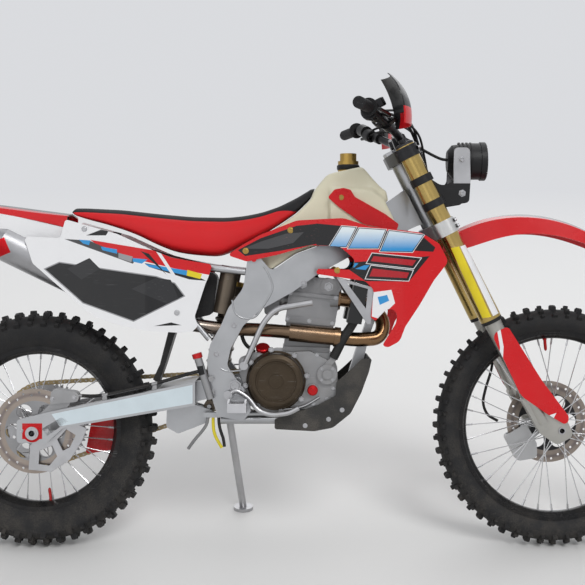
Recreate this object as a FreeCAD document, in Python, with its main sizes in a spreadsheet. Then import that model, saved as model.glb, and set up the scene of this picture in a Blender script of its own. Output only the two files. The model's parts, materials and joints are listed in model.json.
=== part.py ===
"""A 450-class off-road motorcycle, leaning on its side stand.

Every piece is drawn upright, +X forward, +Y to the rider's left, +Z up, with X = 0
midway between the axles and Z = 0 on the ground, and is then leaned to the left as
the bike parks. Pieces of the front end are drawn along the fork and raked first.
"""
import FreeCAD, Part
import math
import os

from FreeCAD import Placement, Rotation, Vector

doc = FreeCAD.newDocument("dirt_bike")

# Driving dimensions, in millimetres and degrees
SIZES = [
    ("lean_angle", 10, "lean to the left on the side stand"),
    ("origin_x", -1.395, "brings the middle of the length over the origin"),
    ("origin_y", -213.44, "brings the middle of the leaned width over the origin"),
    ("wheelbase", 1483, "axle to axle"),
    ("front_tyre_radius", 347, "to the tips of the knobs"),
    ("front_tyre_width", 84, "across the knobs"),
    ("front_tyre_drop", 26, "crown's middle above its edges"),
    ("front_rim_radius", 277, "outer edge of the rim flange, 21 inch wheel"),
    ("front_rim_width", 54, "across the flanges"),
    ("rear_tyre_radius", 339, "to the tips of the knobs"),
    ("rear_tyre_width", 118, "across the knobs"),
    ("rear_tyre_drop", 32, "crown's middle above its edges"),
    ("rear_rim_radius", 239, "outer edge of the rim flange, 18 inch wheel"),
    ("rear_rim_width", 66, "across the flanges"),
    ("knob_height", 13, "depth of the knobs"),
    ("tyre_wall", 9, "thickness of the tyre casing"),
    ("rim_depth", 26, "flange edge to spoke side"),
    ("front_axle_radius", 10, "front axle rod"),
    ("rear_axle_radius", 12.5, "rear axle rod"),
    ("axle_clearance", 0.3, "hub bore over axle, on the radius"),
    ("spoke_radius", 1.9, "spoke wire"),
    ("spoke_count", 36, "spokes in each wheel"),
    ("disc_radius", 120, "both brake discs"),
    ("disc_thickness", 4, "both brake discs"),
    ("front_disc_y", 66, "middle of the front disc, left of centre"),
    ("rear_disc_y", 74, "middle of the rear disc, right of centre"),
    ("rake_angle", 26.5, "fork from the vertical"),
    ("axle_lead", 36, "front axle ahead of the fork legs"),
    ("clamp_offset", 22, "fork legs ahead of the steering stem"),
    ("leg_spacing", 105, "fork leg from the centre plane"),
    ("fork_outer_radius", 28, "gold outer tube"),
    ("fork_inner_radius", 24, "sliding tube"),
    ("seal_height", 356, "lower end of the outer tube, up the leg"),
    ("lower_clamp_height", 652, "middle of the lower clamp, up the leg"),
    ("upper_clamp_height", 890, "middle of the upper clamp, up the leg"),
    ("fork_cap_rise", 9, "fork caps above the upper clamp"),
    ("stem_radius", 15, "steering stem"),
    ("stem_bore_radius", 7.5, "hole down the stem"),
    ("head_tube_radius", 26, "steering head tube"),
    ("bar_radius", 11.5, "handlebar tube"),
    ("bar_half_width", 406, "to the bar ends"),
    ("seat_gap", 0.3, "between pieces that bolt on and what carries them"),
    ("pivot_x", -173, "swingarm pivot"),
    ("pivot_z", 471, "swingarm pivot"),
    ("pivot_radius", 10, "swingarm pivot bolt"),
    ("plate_inner_y", 84, "inner face of the frame sides"),
    ("plate_width", 22, "thickness of the frame sides"),
    ("arm_inner_y", 84, "inner face of the swingarm legs"),
    ("arm_width", 28, "thickness of the swingarm legs"),
    ("lug_inner_y", 44, "inner face of the pivot lugs"),
    ("lug_width", 18, "thickness of the pivot lugs"),
    ("chain_y", 74, "chain line, left of centre"),
    ("chain_pitch", 15.875, "pin to pin"),
    ("rear_teeth", 48, "teeth of the rear sprocket"),
    ("front_teeth", 13, "teeth of the front sprocket"),
    ("roller_radius", 5.1, "chain roller"),
    ("chain_width", 18, "over the pins"),
    ("chain_height", 15, "side plates"),
    ("sprocket_thickness", 6, "rear sprocket"),
    ("front_sprocket_x", -100, "front sprocket centre"),
    ("front_sprocket_z", 466, "front sprocket centre"),
    ("case_half_width", 60, "engine case, each side of centre"),
    ("case_bulge", 24, "case covers, each side"),
    ("clutch_cover_radius", 80, "clutch cover"),
    ("clutch_cover_depth", 44, "clutch cover, outward"),
    ("clutch_x", -58, "clutch cover centre"),
    ("clutch_z", 484, "clutch cover centre"),
    ("silencer_radius", 52, "silencer body"),
    ("silencer_y", 72, "silencer, right of centre"),
    ("panel_wall", 4, "moulded panels"),
    ("rail_radius", 10, "subframe rails"),
    ("rail_y", 52, "subframe rails from centre"),
    ("skid_half_width", 100, "skid plate, each side"),
    ("skid_wall", 4, "skid plate thickness"),
    ("peg_length", 78, "footpeg"),
    ("peg_width", 52, "footpeg, fore and aft"),
    ("stand_pivot_x", -205, "side stand pivot"),
    ("stand_pivot_z", 372, "side stand pivot"),
    ("stand_pivot_y", 124, "side stand pivot, left of centre"),
    ("stand_splay", 140, "stand foot outboard of its pivot"),
    ("stand_lead", 40, "stand foot ahead of its pivot"),
    ("stand_leg_radius", 11, "stand leg tube"),
    ("stand_foot_radius", 30, "stand foot"),
    ("stand_eye_radius", 16, "eye of the stand and its boss on the frame"),
    ("stand_pin_radius", 6, "stand's hinge pin"),
    ("overflow_radius", 4.5, "overflow hoses"),
    ("lamp_radius", 53, "headlight bucket"),
    ("lamp_half_span", 68, "inner face of the lamp bracket's cheeks"),
]

sheet = doc.addObject("Spreadsheet::Sheet", "Sizes")
for row, (alias, value, meaning) in enumerate(SIZES, 1):
    sheet.set(f"A{row}", alias)
    sheet.set(f"B{row}", str(value))
    sheet.set(f"C{row}", meaning)
    sheet.setAlias(f"B{row}", alias)
doc.recompute()


def size(alias):
    """Value of a named cell."""
    return float(getattr(sheet, alias))


# Places worked out from the driving dimensions. A leaned tyre rolls onto the side of
# its crown and dips by the crown's radius times one less the lean's cosine.
lean = math.radians(size("lean_angle"))
half_tread = size("rear_tyre_width") / 2
crown_radius = (half_tread ** 2 + size("rear_tyre_drop") ** 2) / (2 * size("rear_tyre_drop"))
TYRE_DIP = crown_radius * (1 - math.cos(lean))
LEAN = Placement(
    Vector(size("origin_x"), size("origin_y"), TYRE_DIP),
    Rotation(Vector(1, 0, 0), -size("lean_angle")),
)
HALF_BASE = size("wheelbase") / 2
FRONT_AXLE = Vector(HALF_BASE, 0, size("front_tyre_radius"))
REAR_AXLE = Vector(-HALF_BASE, 0, size("rear_tyre_radius"))
PIVOT = Vector(size("pivot_x"), 0, size("pivot_z"))
rake = math.radians(size("rake_angle"))
FORK_UP = Vector(-math.sin(rake), 0, math.cos(rake))
FORK_AHEAD = Vector(math.cos(rake), 0, math.sin(rake))
LEG_FOOT = FRONT_AXLE - FORK_AHEAD * size("axle_lead")
# Local Z runs up the fork leg, local X points ahead of it
FORK = LEAN * Placement(LEG_FOOT, Rotation(Vector(0, 1, 0), -size("rake_angle")))
GAP = size("seat_gap")
# Up the leg: the head tube's ends, and the faces of the two clamps
HEAD_LOW = size("lower_clamp_height") + 22
HEAD_TOP = size("upper_clamp_height") - 18
LOWER_BOTTOM, LOWER_TOP = HEAD_LOW - 42, HEAD_LOW - GAP
UPPER_BOTTOM, UPPER_TOP = HEAD_TOP + GAP, HEAD_TOP + 34
SIDE_NORMAL = LEAN.Rotation.multVec(Vector(0, 1, 0))
MIRROR_BASE = LEAN.Base


def on_fork(up, ahead=0.0):
    """Upright X and Z of a point up the fork leg and ahead of it."""
    point = LEG_FOOT + FORK_UP * up + FORK_AHEAD * ahead
    return point.x, point.z


def upright_at(up, ahead):
    """Place of an upright piece carried by the fork."""
    x, z = on_fork(up, ahead)
    return LEAN * Placement(Vector(x, 0, z), Rotation())


def rounded(outline):
    """Edges of a closed outline; a point's third number rounds its corner."""
    count = len(outline)
    corners = []
    for index, item in enumerate(outline):
        here = Vector(item[0], item[1], 0)
        radius = item[2] if len(item) > 2 else 0
        if not radius:
            corners.append((here, None, here))
            continue
        before = outline[index - 1]
        after = outline[(index + 1) % count]
        back = (Vector(before[0], before[1], 0) - here).normalize()
        ahead = (Vector(after[0], after[1], 0) - here).normalize()
        half = back.getAngle(ahead) / 2
        reach = radius / math.tan(half)
        middle = (back + ahead).normalize()
        top = here + middle * (radius / math.sin(half) - radius)
        corners.append((here + back * reach, top, here + ahead * reach))
    edges = []
    for index, (start, top, end) in enumerate(corners):
        if top is not None:
            edges.append(Part.Arc(start, top, end))
        following = corners[(index + 1) % count][0]
        if end.distanceToPoint(following) > 1e-4:
            edges.append(Part.LineSegment(end, following))
    return edges


def circle(across, up, radius):
    """Outline of a hole or disc."""
    return [Part.Circle(Vector(across, up, 0), Vector(0, 0, 1), radius)]


PLANES = {"side": "XZ_Plane", "front": "YZ_Plane", "top": "XY_Plane"}
FAR = 3000


class Piece:
    """A body that features are added to in turn.

    The side plane is seen from the rider's right and grows towards -Y, the front
    plane grows towards +X and the top plane towards +Z.
    """

    def __init__(self, label, place=LEAN):
        self.body = doc.addObject("PartDesign::Body", label)
        self.body.Label = label
        self.label = label
        self.body.Placement = place
        self.made = 0

    def sketch(self, plane, outlines, start=0.0):
        """A sketch of closed outlines on a plane of the body, moved along its normal."""
        self.made += 1
        sketch = self.body.newObject("Sketcher::SketchObject", f"{self.label}_s{self.made}")
        face = [item for item in self.body.Origin.OriginFeatures if item.Role == PLANES[plane]]
        sketch.AttachmentSupport = [(face[0], "")]
        sketch.MapMode = "FlatFace"
        if isinstance(start, str):
            sketch.setExpression("AttachmentOffset.Base.z", start)
        else:
            sketch.AttachmentOffset = Placement(Vector(0, 0, start), Rotation())
        for outline in outlines:
            curved = not isinstance(outline[0], tuple)
            for edge in outline if curved else rounded(outline):
                sketch.addGeometry(edge)
        return sketch

    def feature(self, kind, profile):
        """A new feature of the body made from a sketch."""
        self.made += 1
        item = self.body.newObject(f"PartDesign::{kind}", f"{self.label}_f{self.made}")
        item.Profile = profile
        return item

    def pad(self, plane, outline, start, length, holes=()):
        """Material from start, of a length, along the plane's normal."""
        item = self.feature("Pad", self.sketch(plane, [outline, *holes], start))
        if isinstance(length, str):
            item.setExpression("Length", length)
        else:
            item.Length = length
        return item

    def cut(self, plane, outline, start, length):
        """A pocket from start, of a length, along the plane's normal."""
        item = self.feature("Pocket", self.sketch(plane, [outline], start))
        item.Reversed = True
        if isinstance(length, str):
            item.setExpression("Length", length)
        else:
            item.Length = length
        return item

    def drill(self, plane, outline):
        """A cut right through, both ways."""
        item = self.feature("Pocket", self.sketch(plane, [outline]))
        item.Type = "ThroughAll"
        item.SideType = "Symmetric"
        return item

    def trim(self, plane, outline):
        """Keeps only what lies inside an outline, seen along the plane's normal."""
        frame = [(-FAR, -FAR), (FAR, -FAR), (FAR, FAR), (-FAR, FAR)]
        item = self.feature("Pocket", self.sketch(plane, [frame, outline]))
        item.Type = "ThroughAll"
        item.SideType = "Symmetric"
        return item

    def revolve(self, plane, outline, axis="H_Axis", holes=()):
        """Material turned round an axis of the sketch."""
        sketch = self.sketch(plane, [outline, *holes])
        item = self.feature("Revolution", sketch)
        item.ReferenceAxis = (sketch, [axis])
        item.Angle = 360
        return item

    def loft(self, plane, sections):
        """Material through sections, each a place along the normal and an outline."""
        sketches = [self.sketch(plane, [outline], place) for place, outline in sections]
        item = self.feature("AdditiveLoft", sketches[0])
        item.Sections = sketches[1:]
        return item


NODES = {}


def node(label, *pieces):
    """Names a node: one object, or several solids that share it."""
    items = [piece.body if isinstance(piece, Piece) else piece for piece in pieces]
    if len(items) == 1:
        result = items[0]
    else:
        result = doc.addObject("Part::Compound", label)
        result.Links = items
    result.Label = label
    NODES[label] = result
    return result


def mirror(piece, label):
    """The same piece on the other side of the bike."""
    source = piece.body if isinstance(piece, Piece) else piece
    item = doc.addObject("Part::Mirroring", label)
    item.Source = source
    item.Normal = SIDE_NORMAL
    item.Base = MIRROR_BASE
    item.Label = label
    return item


def fuse(label, *pieces):
    """One solid from several pieces that meet."""
    item = doc.addObject("Part::MultiFuse", label)
    item.Shapes = [piece.body if isinstance(piece, Piece) else piece for piece in pieces]
    item.Refine = True
    item.Label = label
    return item


def subtract(label, base, tool):
    """A piece with another cut from it."""
    item = doc.addObject("Part::Cut", label)
    item.Base = base.body if isinstance(base, Piece) else base
    item.Tool = tool.body if isinstance(tool, Piece) else tool
    item.Label = label
    return item


def route(points):
    """A wire of straight runs joined by arcs as large as the runs allow."""
    spots = [Vector(*point) for point in points]
    edges = []
    here = spots[0]
    for before, corner, after in zip(spots, spots[1:], spots[2:]):
        back = before - corner
        ahead = after - corner
        reach = 0.45 * min(back.Length, ahead.Length)
        back.normalize()
        ahead.normalize()
        half = back.getAngle(ahead) / 2
        radius = reach * math.tan(half)
        start = corner + back * reach
        end = corner + ahead * reach
        middle = corner + (back + ahead).normalize() * (radius / math.sin(half) - radius)
        edges.append(Part.LineSegment(here, start).toShape())
        edges.append(Part.Arc(start, middle, end).toShape())
        here = end
    edges.append(Part.LineSegment(here, spots[-1]).toShape())
    return Part.Wire(edges)


def tube(label, points, radius, place=LEAN):
    """A round bar along a route; the radius is a cell's alias or a number."""
    path = doc.addObject("Part::Feature", f"{label}_route")
    path.Shape = route(points)
    section = doc.addObject("Part::Circle", f"{label}_section")
    if isinstance(radius, str):
        section.setExpression("Radius", f"Sizes.{radius}")
    else:
        section.Radius = radius
    first = Vector(*points[1]) - Vector(*points[0])
    section.Placement = Placement(Vector(*points[0]), Rotation(Vector(0, 0, 1), first))
    sweep = doc.addObject("Part::Sweep", label)
    sweep.Sections = [section]
    sweep.Spine = (path, [])
    sweep.Solid = True
    sweep.Placement = place
    sweep.Label = label
    return sweep


def rod(label, start, end, radius, place=LEAN):
    """A straight round bar between two points."""
    first = Vector(*start)
    along = Vector(*end) - first
    item = doc.addObject("Part::Cylinder", label)
    if isinstance(radius, str):
        item.setExpression("Radius", radius)
    else:
        item.Radius = radius
    item.Height = along.Length
    item.Placement = place * Placement(first, Rotation(Vector(0, 0, 1), along))
    item.Label = label
    return item


def around(label, piece, place, count):
    """Copies of a piece turned evenly round the Y axis of a place, as one solid."""
    copies = []
    for index in range(count):
        turn = Rotation(Vector(0, 1, 0), 360 * (index + 0.5) / count)
        copy = doc.addObject("App::Link", f"{label}_{index}")
        copy.LinkedObject = piece.body
        copy.Placement = place * Placement(Vector(), turn)
        copies.append(copy)
    return fuse(label, *copies)


# Wheels
TYRE_SECTORS = 24
KNOB_LENGTH = 18
KNOB_REACH = 31.5
KNOB_TAPER = 4


def tyre(label, axle, radius, width, rim_radius, rim_width, drop):
    """A knobbed tyre: flat-faced sectors of hollow casing, each with two rows of knobs.

    The knobs' tips reach the crown where two sectors meet, so the tyre stands on a pair.
    """
    half = width / 2
    bead = rim_width / 2 - 3
    seat = rim_radius - 11
    wall = size("tyre_wall")
    depth = size("knob_height")
    bulge = (half + bead) / 2 + 5
    level = (rim_radius + 1 + radius - drop) / 2
    bend = (half ** 2 + drop ** 2) / (2 * drop)
    share = math.pi / TYRE_SECTORS
    stand = bend * math.sin(lean)
    flat = stand + KNOB_TAPER
    edge = half - 5

    def tip(across):
        crown = radius - bend + math.sqrt(bend ** 2 - across ** 2)
        return (crown - KNOB_REACH * math.sin(share)) / math.cos(share)

    def both(outline):
        return outline + [(-across, up) for across, up in reversed(outline)]

    floors = [(edge, tip(edge) - depth), (flat, tip(flat) - depth)]
    length = 2 * (radius + 20) * math.tan(share)
    sector = Piece(f"{label}_sector", Placement())
    sector.pad("front", both([(bead - wall, seat), (bead, seat), (bead, rim_radius + 1),
                              (bulge, level), *floors]), -length / 2, length)
    sector.cut("front", both([(bead - wall, seat - 5), (bead - wall, rim_radius + 4),
                              (bulge - wall, level), (edge - wall, tip(edge) - depth - wall)]),
               -length / 2, length)
    reach = 500
    across = reach * math.tan(share)
    sector.trim("side", [(0, 0), (across, reach), (-across, reach)])
    # Each knob stands on a whole facet of the casing and narrows towards its top
    knobs = both([(edge, floors[0][1]), (edge - 1, tip(edge - 1)),
                  (flat + KNOB_TAPER, tip(flat + KNOB_TAPER)), (flat, floors[1][1]),
                  (stand, tip(stand))])
    root = floors[0][1] - 1
    for start in (-KNOB_REACH, KNOB_REACH - KNOB_LENGTH):
        sector.pad("front", [*knobs, (2 - edge, root), (edge - 2, root)], start, KNOB_LENGTH)
    return around(label, sector, LEAN * Placement(axle, Rotation()), TYRE_SECTORS)


SPOKE_CIRCLE = 26
SPOKE_CROSSING = 52


def wheel(label, axle, rim_radius, rim_width, hub_ends, axle_radius, flange_y):
    """Rim, spokes and hub, which turn as one piece."""
    place = LEAN * Placement(axle, Rotation())
    half = rim_width / 2
    inner = rim_radius - size("rim_depth")
    rim = Piece(f"{label}_rim", place)
    rim.revolve("front", [
        (-half, rim_radius), (3 - half, rim_radius), (3 - half, rim_radius - 11),
        (-14, rim_radius - 11), (-10, rim_radius - 20), (10, rim_radius - 20),
        (14, rim_radius - 11), (half - 3, rim_radius - 11), (half - 3, rim_radius),
        (half, rim_radius), (half, rim_radius - 14), (13, inner), (-13, inner),
        (-half, rim_radius - 14),
    ])
    right, left = hub_ends
    bore = axle_radius + size("axle_clearance")
    barrel = axle_radius + 10
    hub = Piece(f"{label}_hub", place)
    hub.revolve("front", [
        (right, bore), (left, bore), (left, barrel), (flange_y + 3, barrel + 2),
        (flange_y + 3, 31), (flange_y - 3, 31), (flange_y - 7, barrel), (7 - flange_y, barrel),
        (3 - flange_y, 31), (-flange_y - 3, 31), (-flange_y - 3, barrel + 2), (right, barrel),
    ])
    spokes = []
    count = int(size("spoke_count"))
    for index in range(count):
        side = 1 if index % 2 else -1
        trail = 1 if index % 4 < 2 else -1
        at_rim = math.radians(360 * index / count)
        at_hub = at_rim + math.radians(SPOKE_CROSSING) * trail
        root = Vector(SPOKE_CIRCLE * math.cos(at_hub), side * flange_y,
                      SPOKE_CIRCLE * math.sin(at_hub))
        reach = inner + 3
        nipple = Vector(reach * math.cos(at_rim), side * 5, reach * math.sin(at_rim))
        spokes.append(rod(f"{label}_spoke_{index}", root + axle, nipple + axle,
                          "Sizes.spoke_radius"))
    return node(label, fuse(label, rim, hub, *spokes))


DISC_HOLES = 30


def disc(label, axle, middle):
    """A brake disc with its carrier's windows; middle is an expression towards -Y."""
    piece = Piece(label, LEAN * Placement(axle, Rotation()))
    outer = size("disc_radius")
    windows = []
    for index in range(6):
        turn = math.radians(60 * index)
        windows.append(circle(62 * math.cos(turn), 62 * math.sin(turn), 22))
    for index in range(DISC_HOLES):
        turn = 2 * math.pi * index / DISC_HOLES
        reach = outer - (10 if index % 2 else 18)
        windows.append(circle(reach * math.cos(turn), reach * math.sin(turn), 3.5))
    start = f"{middle} - Sizes.disc_thickness / 2"
    piece.pad("side", circle(0, 0, outer), start, "Sizes.disc_thickness",
              [circle(0, 0, 16), *windows])
    return node(label, piece)


node("front_tyre", tyre("front_tyre", FRONT_AXLE, size("front_tyre_radius"),
                        size("front_tyre_width"), size("front_rim_radius"),
                        size("front_rim_width"), size("front_tyre_drop")))
node("rear_tyre", tyre("rear_tyre", REAR_AXLE, size("rear_tyre_radius"),
                       size("rear_tyre_width"), size("rear_rim_radius"),
                       size("rear_rim_width"), size("rear_tyre_drop")))
DISC_HALF = size("disc_thickness") / 2
FRONT_HUB = (-50, size("front_disc_y") - DISC_HALF)
wheel("front_wheel", FRONT_AXLE, size("front_rim_radius"), size("front_rim_width"),
      FRONT_HUB, size("front_axle_radius"), 34)
REAR_HUB = (DISC_HALF - size("rear_disc_y"), size("chain_y") - size("sprocket_thickness") / 2)
wheel("rear_wheel", REAR_AXLE, size("rear_rim_radius"), size("rear_rim_width"),
      REAR_HUB, size("rear_axle_radius"), 38)
disc("front_disc", FRONT_AXLE, "-Sizes.front_disc_y")
disc("rear_disc", REAR_AXLE, "Sizes.rear_disc_y")


# Chain drive
def pitch_radius(teeth):
    """Radius of the chain's pins round a sprocket."""
    return size("chain_pitch") / (2 * math.sin(math.pi / teeth))


REAR_PITCH = pitch_radius(size("rear_teeth"))
FRONT_PITCH = pitch_radius(size("front_teeth"))
SPROCKET_FRONT = Vector(size("front_sprocket_x"), 0, size("front_sprocket_z"))


def belt(grow):
    """Outline of the chain's loop, grown outwards from its pins, with a straight edge for
    each link on a sprocket."""
    small = Vector(SPROCKET_FRONT.x, SPROCKET_FRONT.z, 0)
    large = Vector(REAR_AXLE.x, REAR_AXLE.z, 0)
    along = small - large
    spread = math.acos((REAR_PITCH - FRONT_PITCH) / along.Length)
    base = math.atan2(along.y, along.x)

    def spot(centre, radius, turn):
        return centre + Vector(math.cos(turn), math.sin(turn), 0) * (radius + grow)

    upper = base + spread
    lower = base - spread
    def bend(centre, radius, start, end):
        steps = round(abs(end - start) * radius / size("chain_pitch"))
        points = [spot(centre, radius, start + (end - start) * step / steps)
                  for step in range(steps + 1)]
        return [(point.x, point.y) for point in points]

    return (bend(small, FRONT_PITCH, upper, lower)
            + bend(large, REAR_PITCH, lower, upper - 2 * math.pi))


CHAIN_START = "-Sizes.chain_y - Sizes.chain_width / 2"
chain = Piece("chain")
chain.pad("side", belt(size("chain_height") / 2), CHAIN_START, "Sizes.chain_width",
          [belt(-size("roller_radius"))])
node("chain", chain)

TIP = REAR_PITCH - size("roller_radius") - 0.7
sprocket = Piece("rear_sprocket", LEAN * Placement(REAR_AXLE, Rotation()))
SPROCKET_START = "-Sizes.chain_y - Sizes.sprocket_thickness / 2"
lightening = [circle(78 * math.cos(math.pi * index / 4), 78 * math.sin(math.pi * index / 4), 19)
              for index in range(8)]
sprocket.pad("side", circle(0, 0, TIP), SPROCKET_START, "Sizes.sprocket_thickness",
             [circle(0, 0, 16), *lightening])
node("rear_sprocket", sprocket)


# Axles
def axle_rod(label, axle, half, radius, bore, collars, heads):
    """A hollow axle with its spacers and end nuts."""
    piece = Piece(label, LEAN * Placement(axle, Rotation()))
    piece.revolve("front", [(-half, bore), (half, bore), (half, radius), (-half, radius)])
    for start, end in collars:
        piece.revolve("front", [(start, bore + 1), (end, bore + 1), (end, radius + 6),
                                (start, radius + 6)])
    for start, end in heads:
        piece.revolve("front", [(start, bore), (end, bore), (end, radius + 6),
                                (start, radius + 6)])
    return node(label, piece)


LEG_INNER = size("leg_spacing") - 20
LEG_OUTER = size("leg_spacing") + 20
axle_rod("front_axle", FRONT_AXLE, LEG_OUTER + 3, size("front_axle_radius"), 7,
         [(-LEG_INNER, FRONT_HUB[0] - 1), (size("front_disc_y") + DISC_HALF + 1, LEG_INNER)],
         [])
ARM_OUTER = size("arm_inner_y") + size("arm_width")
SPROCKET_OUTER = size("chain_y") + size("sprocket_thickness") / 2
axle_rod("rear_axle", REAR_AXLE, ARM_OUTER + 11, size("rear_axle_radius"), 8.5,
         [(-size("arm_inner_y"), -size("rear_disc_y") - DISC_HALF - 1),
          (SPROCKET_OUTER + 1, size("arm_inner_y"))],
         [(-ARM_OUTER - 9, -ARM_OUTER), (ARM_OUTER, ARM_OUTER + 9)])


# Swingarm
arm = Piece("swingarm")
AX, AZ = REAR_AXLE.x, REAR_AXLE.z
PX, PZ = PIVOT.x, PIVOT.z
ARM_SIDE = [
    (PX - 112, PZ + 11), (AX + 50, AZ + 60, 20), (AX - 44, AZ + 36, 10),
    (AX - 44, AZ - 28, 10), (AX + 40, AZ - 28, 15), (AX + 86, AZ + 14, 20), (PX - 112, PZ - 55),
]
arm.pad("side", [(PX - 112, PZ + 11), (PX - 219, PZ - 10), (PX - 219, PZ - 73),
                 (PX - 112, PZ - 55)],
        "-Sizes.arm_inner_y - Sizes.arm_width", "2 * (Sizes.arm_inner_y + Sizes.arm_width)")
arm.pad("side", ARM_SIDE, "Sizes.arm_inner_y", "Sizes.arm_width")
arm.pad("side", ARM_SIDE, "-Sizes.arm_inner_y - Sizes.arm_width", "Sizes.arm_width")
LUG = [(PX - 114, PZ + 8), (PX + 16, PZ + 19, 16), (PX + 24, PZ - 12, 14), (PX, PZ - 24, 14),
       (PX - 114, PZ - 50)]
arm.pad("side", LUG, "Sizes.lug_inner_y", "Sizes.lug_width")
arm.pad("side", LUG, "-Sizes.lug_inner_y - Sizes.lug_width", "Sizes.lug_width")
PLATE_OUTER = size("plate_inner_y") + size("plate_width")
arm.pad("side", circle(PX, PZ, size("pivot_radius")), -PLATE_OUTER - 6, 2 * PLATE_OUTER + 12)
arm.drill("side", circle(AX, AZ, size("rear_axle_radius") + 0.2))
node("swingarm", arm)


# Frame
def frame_side():
    """The right spar and swingarm plate, from the steering head to the cradle."""
    piece = Piece("frame_right")
    behind = -size("clamp_offset") - size("head_tube_radius") - GAP
    head_top = on_fork(HEAD_LOW + 126, behind)
    head_low = on_fork(HEAD_LOW + 16, behind)
    piece.pad("side", [
        head_top, (120, 885, 60), (0, 842, 60), (-70, 793, 16), (-100, 828, 8),
        (-138, 828, 8), (-150, 745, 60), (-192, 690, 40), (-213, 640, 40), (-243, 588, 40),
        (-252, 540, 40), (-246, 480, 40), (-236, 430, 30), (-222, 385, 12), (-150, 372, 12),
        (-128, 400, 12), (-146, 460, 20), (-197, 525, 24), (-186, 575, 40), (-150, 640, 40),
        (-100, 685, 60), (-10, 735, 60), (60, 785, 60), (180, 850, 60), head_low,
    ], "0", 140)
    piece.trim("top", [(420, -16), (300, -26, 60), (70, -84, 80), (-300, -84), (-300, -106),
                       (50, -106, 80), (320, -46, 60), (420, -36)])
    piece.drill("side", circle(PX, PZ, size("pivot_radius") + 0.2))
    return piece


right_side = frame_side()
node("frame_right", right_side)
left_side = mirror(right_side, "frame_left_side")

head = Piece("steering_head", FORK)
back = -size("clamp_offset")
STEM_GAP = size("stem_radius") + 1
GUSSET_LOW, GUSSET_REACH, GUSSET_RISE = HEAD_LOW + 10, 90, 16
head.pad("top", circle(back, 0, size("head_tube_radius")), HEAD_LOW, HEAD_TOP - HEAD_LOW)
head.pad("side", [(back, GUSSET_LOW), (back - GUSSET_REACH, GUSSET_LOW + GUSSET_RISE),
                  (back - GUSSET_REACH, HEAD_LOW + 96), (back, HEAD_LOW + 116)], -15, 30)
head.drill("top", circle(back, 0, STEM_GAP))
node("steering_head", head)



def gusset_edge(share):
    """A point on the gusset's lower edge, from the head tube backwards."""
    return on_fork(GUSSET_LOW + GUSSET_RISE * share - GAP, back - GUSSET_REACH * share)


down = Piece("down_tube")
down.pad("side", [gusset_edge(1), gusset_edge(0.7), (208, 600, 60), (178, 470, 20), (164, 446, 10),
                  (136, 452, 10), (170, 560, 60)], -20, 40)
CRADLE_Y, CRADLE_Z, CRADLE_RADIUS = 72, 371, 12
cradle = [tube(f"cradle_{index}", [(-215, y, CRADLE_Z), (96, y, CRADLE_Z), (134, y, CRADLE_Z + 31),
                                   (150, y / 9, CRADLE_Z + 83)], CRADLE_RADIUS)
          for index, y in enumerate((-CRADLE_Y, CRADLE_Y))]
hose_clip = Piece("hose_clip")
hose_clip.pad("side", [(-264, 378, 4), (-204, 378), (-204, 392), (-264, 392, 4)], CRADLE_Y - 7, 14)
node("down_tube", fuse("down_tube", down, *cradle, hose_clip))

# Overflow hoses: each hangs from the clip and is free at its end
OVERFLOW = {
    "overflow_grey": [(-252, -72, 378), (-252, -72, 362), (-268, -73, 338), (-290, -74, 314),
                      (-308, -71, 288)],
    "overflow_yellow": [(-237, -72, 378), (-237, -72, 362), (-235, -74, 336), (-225, -77, 313),
                        (-212, -75, 292)],
    "overflow_black": [(-221, -72, 378), (-221, -72, 362), (-216, -70, 338), (-207, -69, 315),
                       (-205, -69, 294)],
}
for name, points in OVERFLOW.items():
    node(name, tube(name, points, "overflow_radius"))

# The upper rails rise to the rear along one line, which the fender's feet sit on
RAIL_FRONT = (-345, 822)
RAIL_REAR = (-705, 935.5)
rail_rise = (RAIL_REAR[1] - RAIL_FRONT[1]) / (RAIL_REAR[0] - RAIL_FRONT[0])


def rail_top(x):
    """Height of the rails' upper side."""
    reach = size("rail_radius") * math.hypot(1, rail_rise)
    return RAIL_FRONT[1] + rail_rise * (x - RAIL_FRONT[0]) + reach


STRUT_RADIUS = 8
STRUT_BEND = (-330, 94, 700)
# The strut's arc passes this far inside its bend
STRUT_SAG = 2.5
rails = []
for side in (-1, 1):
    y = side * size("rail_y")
    name = "right" if side < 0 else "left"
    rails.append(tube(f"rail_{name}", [(-144.5, side * 95, 791), (-240, side * 92, 802),
                                       (RAIL_FRONT[0], y, RAIL_FRONT[1]),
                                       (RAIL_REAR[0], y, RAIL_REAR[1])], "rail_radius"))
    rails.append(tube(f"strut_{name}", [(-246, side * 95, 600),
                                        (STRUT_BEND[0], side * STRUT_BEND[1], STRUT_BEND[2]),
                                        (-420, side * 60, 800), (-480, y, 862)], STRUT_RADIUS))
ties = [rod("rail_tie", (-600, -60, 902), (-600, 60, 902), 8),
        rod("rail_tie_front", (-345, -60, 818), (-345, 60, 818), 8)]
node("subframe", fuse("subframe", *rails, *ties))

# Engine
case = Piece("engine_case")
CASE = [(-112, 402, 20), (-60, 384, 20), (98, 384, 25), (120, 430, 25), (116, 520, 30),
        (100, 560, 15), (-60, 566, 20), (-122, 545, 25), (-144, 500, 20), (-138, 440, 20)]
case.pad("side", CASE, "-Sizes.case_half_width", "2 * Sizes.case_half_width")
case.pad("side", [(-142, 452, 30), (-120, 418, 30), (-20, 402, 30), (70, 404, 30), (118, 440, 30),
                  (108, 530, 30), (40, 566, 20), (-120, 562, 20), (-164, 546, 14), (-164, 512, 14)],
         "Sizes.case_half_width", "Sizes.case_bulge")
case.pad("side", circle(22, 470, 62), "-Sizes.case_half_width - Sizes.case_bulge",
         "Sizes.case_bulge")
CASE_FACE = size("case_half_width") + size("case_bulge")
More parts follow.
